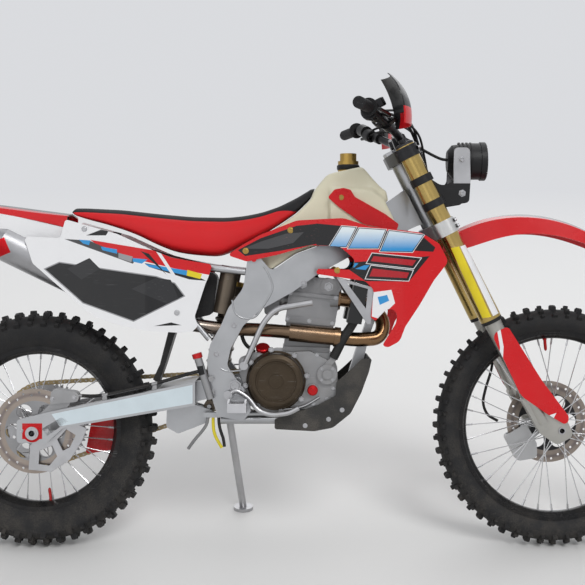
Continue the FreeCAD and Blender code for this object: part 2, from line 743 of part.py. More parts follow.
# Water pump, oil filter cap, and the pump's outlet on the right cover
case.pad("side", circle(86, 502, 28), CASE_FACE, 14)
case.pad("side", circle(86, 502, 13), CASE_FACE + 14, 7)
case.pad("side", circle(45, 457, 18), CASE_FACE, 9)
case.pad("side", [(92, 520, 6), (118, 548, 4), (106, 560, 4), (76, 528, 6)], CASE_FACE - 6, 16)
for rise in range(5):
    case.pad("side", [(94, 424 + 14 * rise), (119, 420 + 14 * rise), (119, 424 + 14 * rise),
                      (94, 428 + 14 * rise)], CASE_FACE - 2, 5)
case.pad("side", circle(size("front_sprocket_x"), size("front_sprocket_z"),
                        FRONT_PITCH - size("roller_radius") - 1.5),
         SPROCKET_START, size("chain_y") + 3 - size("case_half_width"))
node("engine_case", case)

CLUTCH_AT = Vector(size("clutch_x"), 0, size("clutch_z"))
CLUTCH_RADIUS = size("clutch_cover_radius")
CLUTCH_FACE = CASE_FACE + size("clutch_cover_depth")
clutch = Piece("clutch_cover", LEAN * Placement(CLUTCH_AT, Rotation()))
clutch.revolve("front", [
    (-CASE_FACE, 0), (-CASE_FACE, CLUTCH_RADIUS + 4), (-CASE_FACE - 9, CLUTCH_RADIUS + 4, 2),
    (-CASE_FACE - 12, CLUTCH_RADIUS, 2), (6 - CLUTCH_FACE, CLUTCH_RADIUS - 3, 6),
    (-CLUTCH_FACE, CLUTCH_RADIUS - 14, 10), (-CLUTCH_FACE, CLUTCH_RADIUS - 22),
    (2 - CLUTCH_FACE, CLUTCH_RADIUS - 24), (2 - CLUTCH_FACE, 0),
])
node("clutch_cover", clutch)

IGNITION_RADIUS = 59
ignition = Piece("ignition_cover", LEAN * Placement(Vector(22, 0, 474), Rotation()))
ignition.revolve("front", [
    (CASE_FACE, 0), (CASE_FACE, IGNITION_RADIUS), (CASE_FACE + 7, IGNITION_RADIUS, 2),
    (CASE_FACE + 10, IGNITION_RADIUS - 5, 3), (CASE_FACE + 23, IGNITION_RADIUS - 10, 5),
    (CASE_FACE + 26, IGNITION_RADIUS - 22, 8), (CASE_FACE + 26, 0),
])
node("ignition_cover", ignition)

# Barrel, head and cam cover of the slanted cylinder, with its ports
cylinder = Piece("cylinder_block")
cylinder.pad("side", [(-38, 565.6), (94, 560.7), (108, 650), (-28, 664)], -46, 92)
cylinder.pad("side", [(-40, 565.6, 3), (94, 560.6, 3), (96, 574), (-39, 578)], -56, 112)
cylinder.pad("side", [(-33, 648, 4), (108, 634, 4), (112, 652), (-30, 667)], -56, 112)
cylinder.pad("side", [(-30, 665, 4), (111, 650, 4), (124, 716, 8), (-22, 732, 8)], -52, 104)
cylinder.pad("side", [(-25, 726, 4), (121, 710, 4), (124, 720), (-22, 736)], -58, 116)
cylinder.pad("side", [(-18, 732, 8), (120, 718, 8), (128, 745, 12), (116, 768, 12), (-2, 780, 12),
                      (-20, 762, 10)], -50, 100)
for cam_x, cam_z in ((18, 756), (92, 748)):
    cylinder.pad("side", circle(cam_x, cam_z, 24), -54, 108)
cylinder.pad("front", circle(-30, 706, 27), 96, 24)
inlet = rod("inlet_body", (-24, 0, 712), (-108, 0, 726), 25)
inlet_flange = rod("inlet_flange", (-34, 0, 713.7), (-42, 0, 715), 31)
bowl = Piece("inlet_bowl")
bowl.pad("side", [(-92, 668, 8), (-52, 664, 8), (-48, 712), (-96, 716)], -22, 44)
node("cylinder", fuse("cylinder", cylinder, inlet, inlet_flange, bowl))

kick_shaft = Piece("kick_shaft")
kick = tube("kick_bar", [(-146, -112, 530), (-128, -118, 570), (-96, -122, 645),
                         (-60, -124, 688), (44, -128, 706)], 8)
kick_shaft.pad("side", circle(-148, 528, 12), "Sizes.case_half_width + Sizes.case_bulge", 36)
node("kick_lever", fuse("kick_lever", kick_shaft, kick))

header = tube("header", [(118, -30, 712), (192, -36, 704), (250, -50, 655), (240, -66, 602),
                         (165, -82, 598), (100, -84, 608)], 20)
chamber = rod("chamber", (112, -84, 607), (-20, -84, 620), 25)
SILENCER_TILT = 26
tilt = math.radians(SILENCER_TILT)
INLET = Vector(-470, -size("silencer_y"), 700)
LEAD_IN = INLET + Vector(math.cos(tilt), 0, -math.sin(tilt)) * 72
mid_pipe = tube("mid_pipe", [(-10, -84, 619), (-70, -72, 624), (-150, -60, 627), (-230, -58, 630),
                             (-318, -64, 643), LEAD_IN, INLET], 19)
clamps = [rod("header_clamp", (122, -83.5, 605.5), (106, -84, 607.5), 28),
          rod("mid_clamp", (-312, -63.5, 642), (-328, -65, 644), 22),
          rod("header_flange", (121, -30.2, 711.5), (127, -30.5, 711), 30)]
node("exhaust_header", subtract("exhaust_header",
                                fuse("exhaust_run", header, chamber, mid_pipe, *clamps),
                                cylinder))

silencer_place = LEAN * Placement(INLET, Rotation(Vector(0, 1, 0), SILENCER_TILT))
silencer = Piece("silencer", silencer_place)
R = size("silencer_radius")
silencer.revolve("side", [(-GAP, 0), (-GAP, 21), (-70, R - 8), (-90, R), (-400, R), (-440, R - 12),
                          (-455, 22), (-480, 20), (-480, 0)], "H_Axis")
node("silencer", silencer)

radiator = Piece("radiator_right")
radiator.pad("side", [(140, 650), (180, 645), (216, 840), (178, 848)], 74, 66)
RADIATOR_LEAN = 36 / 195
for slat in range(9):
    z = 668 + 19 * slat
    front = 180 + (z - 645) * RADIATOR_LEAN
    radiator.pad("side", [(front - 3, z - 2), (front + 10, z - 8), (front + 11, z - 5),
                          (front - 3, z + 2)], 76, 62)
radiator.pad("top", circle(196, -112, 13), 840, 16)
node("radiators", radiator, mirror(radiator, "radiator_left"))


# Bodywork
def ring(half_top, half_low, low, top, corner):
    """A rounded section across the bike, wider or narrower at its foot."""
    return [(-half_low, low, corner / 2), (half_low, low, corner / 2),
            (half_top, top, corner), (-half_top, top, corner)]


tank = Piece("fuel_tank")
tank.loft("front", [
    (-110, ring(56, 64, 780, 870, 14)),
    (-40, ring(70, 92, 790, 935, 22)),
    (40, ring(80, 96, 830, 1010, 26)),
    (100, ring(78, 94, 860, 1080, 30)),
    (200, ring(66, 80, 920, 1094, 30)),
    (288, ring(44, 60, 960, 1060, 24)),
])
tank.trim("side", [
    (-108, 800.8), (-72, 795.8), (0, 843.7, 30), (120, 886.8, 40), (262, 993.7), (257, 1020, 8),
    (238, 1034, 20), (214, 1060, 20), (188, 1092, 12), (85, 1068, 30), (54, 1037, 15), (40, 996),
    (0, 956, 40), (-50, 921, 40), (-108, 886),
])
# The lobes stand on the spars and hang down outside them, without touching them
LOBE_OUTER = [(80, -114), (298, -68.6)]
SHOULDERS = [(-140, 800), (-140, 940), (-114, 1000, 20), (-76, 1052), (76, 1052), (114, 1000, 20),
             (140, 940), (140, 800)]


def tank_lobe(label, outline, inner):
    """A slab of the right lobe between two lines in plan, rounded over the shoulder."""
    piece = Piece(label)
    piece.pad("side", outline, 30, 110)
    piece.trim("top", inner + LOBE_OUTER[::-1])
    piece.trim("front", SHOULDERS)
    return piece


saddle = tank_lobe("tank_saddle", [(92, 892), (124, 893), (250, 988), (238, 1006, 10),
                                   (214, 1024, 10), (92, 1032)], [(80, -50), (298, -50)])
apron = tank_lobe("tank_apron", [(92, 897), (279, 897, 12), (279, 940, 30), (250, 996, 10),
                                 (214, 1024, 10), (92, 1032)], [(80, -102.5), (298, -53.4)])
right_lobe = fuse("tank_lobe_right", saddle, apron)
node("fuel_tank", fuse("fuel_tank", tank, right_lobe, mirror(right_lobe, "tank_lobe_left")))

cap = Piece("filler_cap")
cap.pad("top", circle(150, 0, 30), 1070, 40)
cap.pad("top", circle(150, 0, 24), 1110, 22)
node("filler_cap", subtract("filler_cap", cap, tank))

seat = Piece("seat")
seat.loft("front", [
    (-645, ring(62, 70, 950, 974, 10)),
    (-540, ring(74, 86, 915, 972, 18)),
    (-400, ring(78, 94, 855, 959, 24)),
    (-260, ring(70, 90, 826, 950, 24)),
    (-120, ring(56, 74, 870, 962, 22)),
    (50, ring(44, 56, 980, 1040, 18)),
])
seat.trim("side", [
    (-645, 958, 8), (-600, 940), (-550, 927), (-500, 910, 40), (-450, 891), (-400, 866),
    (-350, 845), (-300, 838, 40), (-222, 830, 30), (-185, 846, 20), (-150, 866), (-100, 893.5),
    (-50, 925), (0, 960), (40, 1000), (53, 1036, 4), (0, 1004, 60), (-100, 962, 60),
    (-200, 946, 80), (-300, 948, 80), (-400, 957, 80), (-500, 968), (-640, 973, 10),
])
node("seat", seat)


def channel(half, top, depth, wall, crown):
    """An upturned channel section: a fender's skin, with a crowned top."""
    return [(-half, top - depth), (-half + 0.12 * depth, top - crown), (0, top),
            (half - 0.12 * depth, top - crown), (half, top - depth),
            (half - wall, top - depth), (half - wall - 0.12 * depth, top - crown - wall),
            (0, top - wall), (wall - half + 0.12 * depth, top - crown - wall),
            (wall - half, top - depth)]


WALL = size("panel_wall")
rear_fender = Piece("rear_fender")
rear_fender.loft("front", [
    (-1085, channel(62, 1000, 14, WALL, 6)),
    (-980, channel(84, 996, 20, WALL, 8)),
    (-835, channel(98, 981, 26, WALL, 10)),
    (-649, channel(92, 957, 42, WALL, 8)),
])
for start in (-size("rail_y") - 6, size("rail_y") - 6):
    rear_fender.pad("side", [(-700, rail_top(-700) + GAP), (-670, rail_top(-670) + GAP), (-670, 953),
                             (-700, 957)], start, 12)
node("rear_fender", rear_fender)

tail_lamp = Piece("tail_lamp")
tail_lamp.pad("front", [(-45, 962, 8), (45, 962, 8), (48, 987, 4), (0, 991.7), (-48, 987, 4)],
              -1060, 70)
node("tail_lamp", tail_lamp)

airbox = Piece("airbox")
airbox.pad("side", [(-240, 668, 20), (-330, 648, 20), (-440, 655, 20), (-500, 760, 20),
                    (-470, 835, 10), (-400, 820), (-330, 796), (-225, 786, 20)],
           "Sizes.rail_radius + Sizes.seat_gap - Sizes.rail_y", 78)
airbox.pad("side", [(-440, 812), (-410, 806), (-410, 842), (-440, 848)],
           "Sizes.rail_radius + Sizes.seat_gap - Sizes.rail_y",
           "2 * (Sizes.rail_y - Sizes.rail_radius - Sizes.seat_gap)")
node("airbox", airbox)

shroud = Piece("shroud_right")
shroud.pad("side", [
    (-195, 838, 6), (-150, 868, 30), (-100, 896, 60), (0, 935, 60), (130, 941, 60), (200, 918, 60),
    (345, 900, 30), (395, 870, 20), (421, 820, 20), (380, 768, 60), (340, 700, 60), (300, 640, 40),
    (285, 600, 30), (252, 582, 16), (237, 588, 6), (275, 650, 30), (285, 728, 20), (218, 656, 4),
    (205, 666, 4), (214, 742, 20), (190, 766, 20), (52, 786, 6), (60, 800), (196, 796, 20),
    (120, 862, 30), (40, 866, 30), (-50, 840, 40), (-140, 820, 20),
], 90, 90)
shroud.trim("top", [(-210, -108), (-60, -114, 80), (120, -142, 80), (300, -158, 80), (440, -146),
                    (440, -150), (300, -162, 80), (120, -146, 80), (-60, -118, 80),
                    (-210, -112)])
shroud.pad("side", circle(-120, 826, 7), PLATE_OUTER + GAP, 8)
wing = Piece("trim_wing")
wing.pad("side", [(87, 1000, 6), (106, 1022, 8), (132, 1027, 8), (152, 1022, 8), (164, 1002, 16),
                  (250, 955, 60), (290, 926, 6), (284, 908, 8), (190, 925, 40), (120, 972, 12)], 60, 70)
wing.trim("top", [(80, -114.3), (298, -68.9), (298, -74), (80, -119.4)])
node("shroud_right", shroud, wing)
node("shroud_left", mirror(shroud, "shroud_left_panel"), mirror(wing, "trim_wing_left"))

panel = Piece("side_panel_right")
panel.pad("side", [
    (-762, 890, 10), (-660, 886, 10), (-645, 938, 8), (-600, 925), (-500, 897, 40), (-400, 851),
    (-350, 831), (-300, 822, 40), (-236, 812, 10), (-247, 778, 10), (-256, 757, 10),
    (-286, 665, 20), (-276, 640, 8), (-292, 624, 8), (-330, 621, 20), (-420, 627, 60),
    (-500, 644, 60), (-560, 665, 40), (-605, 700, 40), (-737, 815, 20),
], 90, 60)
panel.trim("top", [(-800, -124), (-600, -128, 80), (-420, -128, 80), (-230, -108), (-230, -112),
                   (-420, -132, 80), (-600, -132, 80), (-800, -128)])
panel.pad("side", circle(STRUT_BEND[0], STRUT_BEND[2], 8), STRUT_BEND[1] + STRUT_RADIUS - STRUT_SAG + GAP,
          20)
node("side_panel_right", panel)
node("side_panel_left", mirror(panel, "side_panel_left"))

skid = Piece("skid_plate")
skid.pad("side", [(-62, 376, 6), (-62, 348, 6), (50, 342, 60), (102, 352, 30), (152, 392, 30),
                  (182, 450, 60), (204, 510, 60), (212, 546, 4), (184, 546, 4), (146, 510, 10),
                  (112, 480, 10), (110, 442, 10), (60, 416, 20), (0, 396, 20)],
         "-Sizes.skid_half_width", "2 * Sizes.skid_half_width")
skid.cut("side", [(-90, 380), (-90, 352.5), (50, 346.5, 60), (100, 356.5, 30), (148, 395, 30),
                  (178, 452, 60), (200, 512, 60), (209, 560), (100, 560), (-90, 500)],
         "Sizes.skid_wall - Sizes.skid_half_width",
         "2 * (Sizes.skid_half_width - Sizes.skid_wall)")
for start in (-CRADLE_Y - 8, CRADLE_Y - 8):
    for x in (-45, 55):
        skid.pad("side", [(x, 344), (x + 20, 344), (x + 20, CRADLE_Z - CRADLE_RADIUS - GAP),
                          (x, CRADLE_Z - CRADLE_RADIUS - GAP)], start, 16)
node("skid_plate", skid)

mud_flap = Piece("mud_flap")
mud_flap.pad("side", [(-338, 648.4 - GAP), (-360, 649.9 - GAP), (-392, 525, 20), (-412, 482), (-396, 470),
                      (-378, 520, 20)], -38, 76)
node("mud_flap", mud_flap)

# Rider's controls on the frame
peg = Piece("footpeg_right")
PEG_X = -165
PEG_TIP = -PLATE_OUTER - size("peg_length")
peg.pad("front", [(PEG_TIP - 4, 405), (-PLATE_OUTER, 398), (-PLATE_OUTER, 428), (PEG_TIP, 430)],
        PEG_X - size("peg_width") / 2, "Sizes.peg_width")
for start, end in ((30, 50), (56, 74)):
    peg.drill("top", [(PEG_X - 17, -PLATE_OUTER - start), (PEG_X + 17, -PLATE_OUTER - start),
                      (PEG_X + 17, -PLATE_OUTER - end), (PEG_X - 17, -PLATE_OUTER - end)])
PEG_TEETH = 6
TEETH_START = PLATE_OUTER + 30
tooth = (size("peg_length") - 34) / PEG_TEETH
comb = [(-TEETH_START, 424)]
for index in range(PEG_TEETH):
    comb += [(-TEETH_START - tooth * (index + 0.25), 437),
             (-TEETH_START - tooth * (index + 1), 427)]
comb += [(-TEETH_START - tooth * PEG_TEETH, 424)]
for start in (PEG_X - size("peg_width") / 2, PEG_X + size("peg_width") / 2 - 5):
    peg.pad("front", comb, start, 5)
node("footpegs", peg, mirror(peg, "footpeg_left"))

brake = tube("brake_bar", [(-192, -119, 447), (-170, -119, 461), (-135, -120, 440), (-108, -124, 403),
                           (-70, -130, 391), (-22, -138, 398), (6, -140, 413)], 7)
brake_boss = Piece("brake_boss")
brake_boss.pad("side", circle(-192, 447, 12), PLATE_OUTER + GAP, 24)
node("brake_pedal", fuse("brake_pedal", brake, brake_boss))

shifter = tube("shift_bar", [(-85, 122, 404), (-40, 128, 410), (40, 134, 434)], 6)
shift_boss = Piece("shift_boss")
shift_boss.pad("side", circle(-85, 404, 9), -126, 126 - 60)
node("shift_lever", fuse("shift_lever", shifter, shift_boss))

# Rear suspension
SHOCK_Y = 4
SHOCK_TOP = (-172, SHOCK_Y, 788)
SHOCK_FOOT = (-252, SHOCK_Y, 402)
EYE_HALF = 14
foot_eye = rod("shock_foot", (-252, SHOCK_Y - EYE_HALF, 402), (-252, SHOCK_Y + EYE_HALF, 402), 16)
shock = fuse("shock_body", rod("shock_rod", SHOCK_TOP, SHOCK_FOOT, 12), foot_eye,
             rod("shock_spring", (-178, SHOCK_Y, 758), (-236, SHOCK_Y, 478), 31))
link_pin = rod("link_pin", (-252, SHOCK_Y - 30, 402), (-252, SHOCK_Y + 30, 402), 6)
pin_room = rod("pin_room", (-252, SHOCK_Y - 20, 402), (-252, SHOCK_Y + 20, 402), 6 + GAP)
reservoir = rod("reservoir", (-188, -54, 806), (-213, -54, 672), 26)
bridge = rod("reservoir_bridge", (-175, SHOCK_Y, 776), (-192, -54, 786), 10)
node("shock", fuse("shock", subtract("shock_eyed", shock, pin_room), reservoir, bridge))


def crosspiece_floor(x):
    """Height of the underside of the swingarm's crosspiece."""
    return PZ - 55 - 18 / 107 * (PX - 112 - x)


link = Piece("linkage")
link.pad("side", [(-372, crosspiece_floor(-372) - GAP, 4), (-304, crosspiece_floor(-304) - GAP, 8),
                  (-236, 392, 12), (-240, 380, 12), (-262, 356, 20), (-340, 326, 12),
                  (-374, 345, 12)], SHOCK_Y - 34, 68)
link_room = rod("link_room", (-252, SHOCK_Y - EYE_HALF - 1, 402),
                (-252, SHOCK_Y + EYE_HALF + 1, 402), 34)
node("linkage", fuse("linkage", subtract("link_forked", link, link_room), link_pin))

caliper = Piece("rear_caliper")
caliper.pad("side", [(AX + 44, AZ + 77, 8), (AX + 124, AZ + 85, 12), (AX + 130, AZ + 112, 16),
                     (AX + 50, AZ + 124, 16)], 58, 34)
caliper.cut("side", circle(AX, AZ, size("disc_radius") + 6), size("rear_disc_y") - 7, 14)
BRACKET_START = size("rear_disc_y") + DISC_HALF + 5
caliper.pad("side", [(AX - 22, AZ + 14, 12), (AX + 20, AZ - 14, 12), (AX + 112, AZ + 90, 10),
                     (AX + 58, AZ + 92, 10)], BRACKET_START, size("arm_inner_y") - GAP - BRACKET_START)
caliper.drill("side", circle(AX, AZ, size("rear_axle_radius") + 6 + GAP))


def arm_top(x):
    """Height of the upper side of the swingarm's legs."""
    rise = (PZ + 11 - AZ - 60) / (PX - 112 - AX - 50)
    return PZ + 11 + rise * (x - PX + 112)


# The master cylinder is bolted to the frame and its hose runs along the swingarm
HOSE_RADIUS = 5
HOSE_Y = -98
hose = tube("rear_hose", [(-262, -121, 516), (-300, -114, 506), (-410, HOSE_Y, arm_top(-410) + 16),
                          (-560, HOSE_Y, arm_top(-560) + 14), (-626, -84, 441)], HOSE_RADIUS)
master = rod("rear_master", (-240, -121, 436), (-278, -121, 556), 11)
master_cap = rod("rear_master_cap", (-276, -121, 550), (-280, -121, 563), 14)
master_boss = Piece("rear_master_boss")
for z in (452, 492):
    master_boss.pad("side", circle(-238 - (z - 452) * 0.05, z, 8), PLATE_OUTER + GAP, 16)
hose_guides = Piece("hose_guides")
for x in (-400, -540):
    hose_guides.pad("side", [(x - 7, arm_top(x - 7) + GAP), (x + 7, arm_top(x + 7) + GAP),
                             (x + 5, arm_top(x) + 16), (x - 5, arm_top(x) + 16)], 93, 10)
node("rear_caliper", fuse("rear_caliper_and_hose", caliper, hose, master, master_cap, master_boss,
                          hose_guides))

guide = Piece("chain_guide")
arm_slope = (PZ - 55 - AZ - 14) / (PX - 112 - AX - 86)


def arm_floor(x):
    """Height of the underside of the swingarm's legs."""
    return AZ + 14 + arm_slope * (x - AX - 86)


guide.pad("side", [(AX + 140, arm_floor(AX + 140) - GAP), (AX + 226, arm_floor(AX + 226) - GAP),
                   (AX + 210, AZ - 72, 8), (AX + 120, AZ - 86, 8)],
          -size("chain_y") - 24, 48)
guide.cut("side", belt(size("chain_height") / 2 + 1), -size("chain_y") - 14, 28)
node("chain_guide", guide)


# Front end, drawn along the fork
def on_leg(side):
    """Place of a fork leg: local Z up the leg, Y outwards to the left."""
    return FORK * Placement(Vector(0, side * size("leg_spacing"), 0), Rotation())


def leg_tube(side, label):
    """A gold outer tube with its cap."""
    piece = Piece(label, on_leg(side))
    outer = size("fork_outer_radius")
    low = size("seal_height")
    top = UPPER_TOP + size("fork_cap_rise")
    piece.revolve("side", [(0, low), (outer + 2, low), (outer + 3, low + 20),
                           (outer + 1.5, low + 190), (outer, low + 240), (outer, top), (0, top)],
                  "V_Axis")
    return piece


def leg_foot(side, label):
    """A sliding tube and the cast foot that holds the axle."""
    piece = Piece(label, on_leg(side))
    inner = size("fork_inner_radius")
    lead = size("axle_lead")
    piece.revolve("side", [(0, 40), (inner, 40), (inner, size("seal_height") - 0.3),
                           (0, size("seal_height") - 0.3)], "V_Axis")
    piece.pad("side", [(-27, 130, 10), (27, 130, 10), (40, 70, 30), (lead + 26, 22, 20),
                       (lead + 24, -28, 16), (lead - 30, -30, 20), (-22, 20, 30)], -20, 40)
    piece.drill("side", circle(lead, 0, size("front_axle_radius") + 0.2))
    return piece


node("fork_tubes", leg_tube(-1, "fork_tube_right"), leg_tube(1, "fork_tube_left"))
node("fork_legs", leg_foot(-1, "fork_leg_right"), leg_foot(1, "fork_leg_left"))

LEG_Y = size("leg_spacing")
CLAMP = [(34, -LEG_Y - 36, 30), (-34, -LEG_Y - 36, 30), (-58, -30, 24), (-58, 30, 24),
         (-34, LEG_Y + 36, 30), (34, LEG_Y + 36, 30), (30, LEG_Y - 30, 24), (4, 30, 40),
         (4, -30, 40), (30, 30 - LEG_Y, 24)]


def clamp(label, low, high):
    """A triple clamp with its tube holes."""
    piece = Piece(label, FORK)
    piece.pad("top", CLAMP, low, high - low)
    for side in (-1, 1):
        piece.drill("top", circle(0, side * LEG_Y, size("fork_outer_radius") + GAP))
    return piece


lower = clamp("lower_clamp", LOWER_BOTTOM, LOWER_TOP)
lower.pad("top", circle(back, 0, size("stem_radius")), HEAD_LOW - 3, HEAD_TOP - HEAD_LOW + 4)
lower.drill("top", circle(back, 0, size("stem_bore_radius")))
upper = clamp("upper_clamp", UPPER_BOTTOM, UPPER_TOP)
upper.drill("top", circle(back, 0, size("stem_bore_radius")))
for side in (-1, 1):
    upper.pad("top", circle(0, side * 50, 13), UPPER_TOP - 4, 34)

# The bar, drawn along the fork: ahead of the legs, off centre, above the upper clamp
BAR = [(-93, size("bar_half_width"), 143), (-54, 262, 127.5), (-5, 118, 36.5), (2, 62, 21.5)]


def at_bar(ahead, side, off_centre, rise):
    """A place near the bar, in the fork's own directions."""
    return Vector(ahead, side * off_centre, UPPER_TOP + rise)


bar_route = [at_bar(x, -1, y, rise) for x, y, rise in BAR]
bar_route += [at_bar(x, 1, y, rise) for x, y, rise in reversed(BAR)]
handlebar = tube("handlebar", bar_route, "bar_radius", FORK)
node("handlebar", handlebar)
node("triple_clamps", lower, subtract("upper_clamp_bored", upper, handlebar))


def along(start, end, share):
    """A point part of the way along a line."""
    return start + (end - start) * share


def bar_run(side, index):
    """The ends of one straight run of the bar, from the tip inwards."""
    (x, y, rise), (next_x, next_y, next_rise) = BAR[index], BAR[index + 1]
    return at_bar(x, side, y, rise), at_bar(next_x, side, next_y, next_rise)


def grip(side, label):
    """A hand grip over the bar's end."""
    tip, root = bar_run(side, 0)
    sleeve = rod(f"{label}_sleeve", along(tip, root, -0.02), along(tip, root, 0.78), 16, FORK)
    flange = rod(f"{label}_flange", along(tip, root, 0.76), along(tip, root, 0.8), 24, FORK)
    return subtract(label, fuse(f"{label}_outer", sleeve, flange), handlebar)


node("grips", grip(-1, "grip_right"), grip(1, "grip_left"))


def lever(side, label):
    """A perch on the bar with its lever."""
    perch = rod(f"{label}_perch", at_bar(-52, side, 240, 121), at_bar(-46, side, 207, 106), 19, FORK)
    blade = tube(f"{label}_blade", [at_bar(-38, side, 222, 109), at_bar(-15, side, 240, 88),
                                    at_bar(-27, side, 310, 92), at_bar(-51, side, 385, 106)], 5, FORK)
    return subtract(label, fuse(f"{label}_outer", perch, blade), handlebar)


node("levers", lever(-1, "brake_lever"), lever(1, "clutch_lever"))

GUARD_WALL = 4


def shield(shift, inner, outer, bow):
    """A hand guard's section seen from above: a bowed band of one thickness."""
    def spot(ahead, off_centre):
        return Vector(ahead + shift, -off_centre, 0)

    middle = (inner + outer) / 2
    return [
        Part.Arc(spot(0, inner), spot(bow, middle), spot(8, outer)),
        Part.LineSegment(spot(8, outer), spot(8 - GUARD_WALL, outer)),
        Part.Arc(spot(8 - GUARD_WALL, outer), spot(bow - GUARD_WALL, middle),
                 spot(-GUARD_WALL, inner)),
        Part.LineSegment(spot(-GUARD_WALL, inner), spot(0, inner)),
    ]


def hand_guard(label):
    """The right hand's shield, with its arm and its ring round the bar."""
    place = upright_at(UPPER_TOP + 60, 0)
    shell = Piece(f"{label}_shell", place)
    shell.loft("top", [
        (-16, shield(-6, 214, 376, 30)),
        (50, shield(-14, 200, 392, 32)),
        (116, shield(-48, 236, 350, 20)),
    ])
    outer, inner = bar_run(-1, 1)
    start, end = along(outer, inner, 0.54), along(outer, inner, 0.66)
    ring = rod(f"{label}_ring", start, end, size("bar_radius") + 6, FORK)
    arm = rod(f"{label}_arm", (-30, -180, 0), (-10, -220, 12), 6, place)
    room = rod(f"{label}_room", along(outer, inner, 0.4), along(outer, inner, 0.8),
               size("bar_radius") + GAP, FORK)
    return fuse(label, shell, subtract(f"{label}_clamp", fuse(f"{label}_bar", ring, arm), room))


guard = hand_guard("hand_guard_right")
node("hand_guards", guard, mirror(guard, "hand_guard_left"))

# The lamp is carried upright between two cheeks that are banded to the fork tubes
lamp_place = upright_at(HEAD_LOW + 145, 103)
lamp = Piece("headlight_bucket", lamp_place)
BUCKET = size("lamp_radius")
lamp.revolve("side", [(0, 0), (0, 30), (14, BUCKET - 6), (60, BUCKET), (98, BUCKET), (104, BUCKET - 4),
                      (104, 0)], "H_Axis")
SPAN = size("lamp_half_span")
trunnion = rod("lamp_trunnion", (34, GAP - SPAN, 0), (34, SPAN - GAP, 0), 9, lamp_place)
node("headlight", fuse("headlight", lamp, trunnion))

CHEEK = [(12, 34, 12), (56, 34, 12), (58, -60, 10), (54, -122, 12), (6, -130, 20), (-44, -148, 8),
         (-58, -112, 8), (-98, -50, 8), (-84, -36, 8), (-20, -78, 30), (8, -60, 20)]
carriers = []
for side in (-1, 1):
    cheek = Piece(f"lamp_cheek_{side + 1}", lamp_place)
    cheek.pad("side", CHEEK, SPAN if side < 0 else -SPAN - 5, 5)
    carriers.append(cheek)
    for level in (HEAD_LOW + 53, HEAD_LOW + 128):
        band = Piece(f"lamp_band_{side + 1}_{level:.0f}", on_leg(side))
        band.pad("top", circle(0, 0, size("fork_outer_radius") + 4.5), level - 11, 22,
                 [circle(0, 0, size("fork_outer_radius") + GAP)])
        carriers.append(band)
carriers.append(rod("lamp_tie", (34, -SPAN - 2, -96), (34, SPAN + 2, -96), 6, lamp_place))
node("lamp_bracket", fuse("lamp_bracket", *carriers))

# The fender's sections are measured from the middle of the lower clamp's underside
fender = Piece("front_fender", upright_at(LOWER_BOTTOM, 0))
fender.loft("front", [
    (3, channel(46, -4, 44, WALL, 6)),
    (73, channel(58, 32, 66, WALL, 8)),
    (193, channel(68, 59, 60, WALL, 10)),
    (333, channel(72, 44, 52, WALL, 12)),
    (453, channel(62, -11, 40, WALL, 12)),
    (558, channel(40, -96, 22, WALL, 8)),
])
fender_feet = [rod(f"fender_foot_{index}", (0, y, LOWER_BOTTOM - GAP), (0, y, LOWER_BOTTOM - 14), 9, FORK)
               for index, y in enumerate((-30, 30))]
node("front_fender", fuse("front_fender", fender, *fender_feet))


def fork_guard(side, label):
    """A moulded guard down the front and outside of a leg."""
    piece = Piece(label, on_leg(side))
    piece.pad("side", [(-20, 330, 20), (30, 330, 12), (48, 150, 60), (70, 30, 12), (56, 4, 12),
                       (20, 60, 30), (-24, 140, 60)],
              "24" if side < 0 else "-28", 4)
    return piece


node("fork_guards", fork_guard(-1, "guard_right"), fork_guard(1, "guard_left"))

front_caliper = Piece("front_caliper", FORK)
front_caliper.pad("side", [(-98, 20, 12), (-98, -62, 16), (-40, -80, 16), (-22, -40, 12),
                           (-24, 26, 12)], -84.5, 34)
front_caliper.cut("side", circle(size("axle_lead"), 0, size("disc_radius") + 6), -73, 14)
front_caliper.pad("side", [(-60, 20), (-60, -40), (4, -24), (10, 28, 8), (-20, 34, 8)],
                  GAP - LEG_INNER, 6.5)
node("front_caliper", front_caliper)

# Side stand
STAND_PIVOT = Vector(size("stand_pivot_x"), size("stand_pivot_y"), size("stand_pivot_z"))
FOOT_THICKNESS = 10
UP = Rotation(Vector(1, 0, 0), size("lean_angle")).multVec(Vector(0, 0, 1))
foot_y = STAND_PIVOT.y + size("stand_splay")
foot_z = (foot_y * math.sin(lean) - TYRE_DIP) / math.cos(lean)
STAND_SOLE = Vector(STAND_PIVOT.x + size("stand_lead"), foot_y, foot_z)
# The stand's hinge lies as nearly across the bike as lets the leg swing from its
# parked line to its stowed line along the swingarm.
PARKED = (STAND_SOLE - STAND_PIVOT).normalize()
STOWED = Vector(-0.975, 0.085, 0.12).normalize()
swing = (PARKED - STOWED).normalize()
across = Vector(0, 1, 0)
STAND_AXIS = (across - swing * across.dot(swing)).normalize()
flat_parked = PARKED - STAND_AXIS * PARKED.dot(STAND_AXIS)
flat_stowed = STOWED - STAND_AXIS * STOWED.dot(STAND_AXIS)
STAND_SWING = math.degrees(flat_parked.getAngle(flat_stowed))
print(f"stand axis {STAND_AXIS}, swing {STAND_SWING:.1f} degrees")


def hinge(share):
    """A point on the stand's hinge, a distance outwards from the pivot."""
    return STAND_PIVOT + STAND_AXIS * share


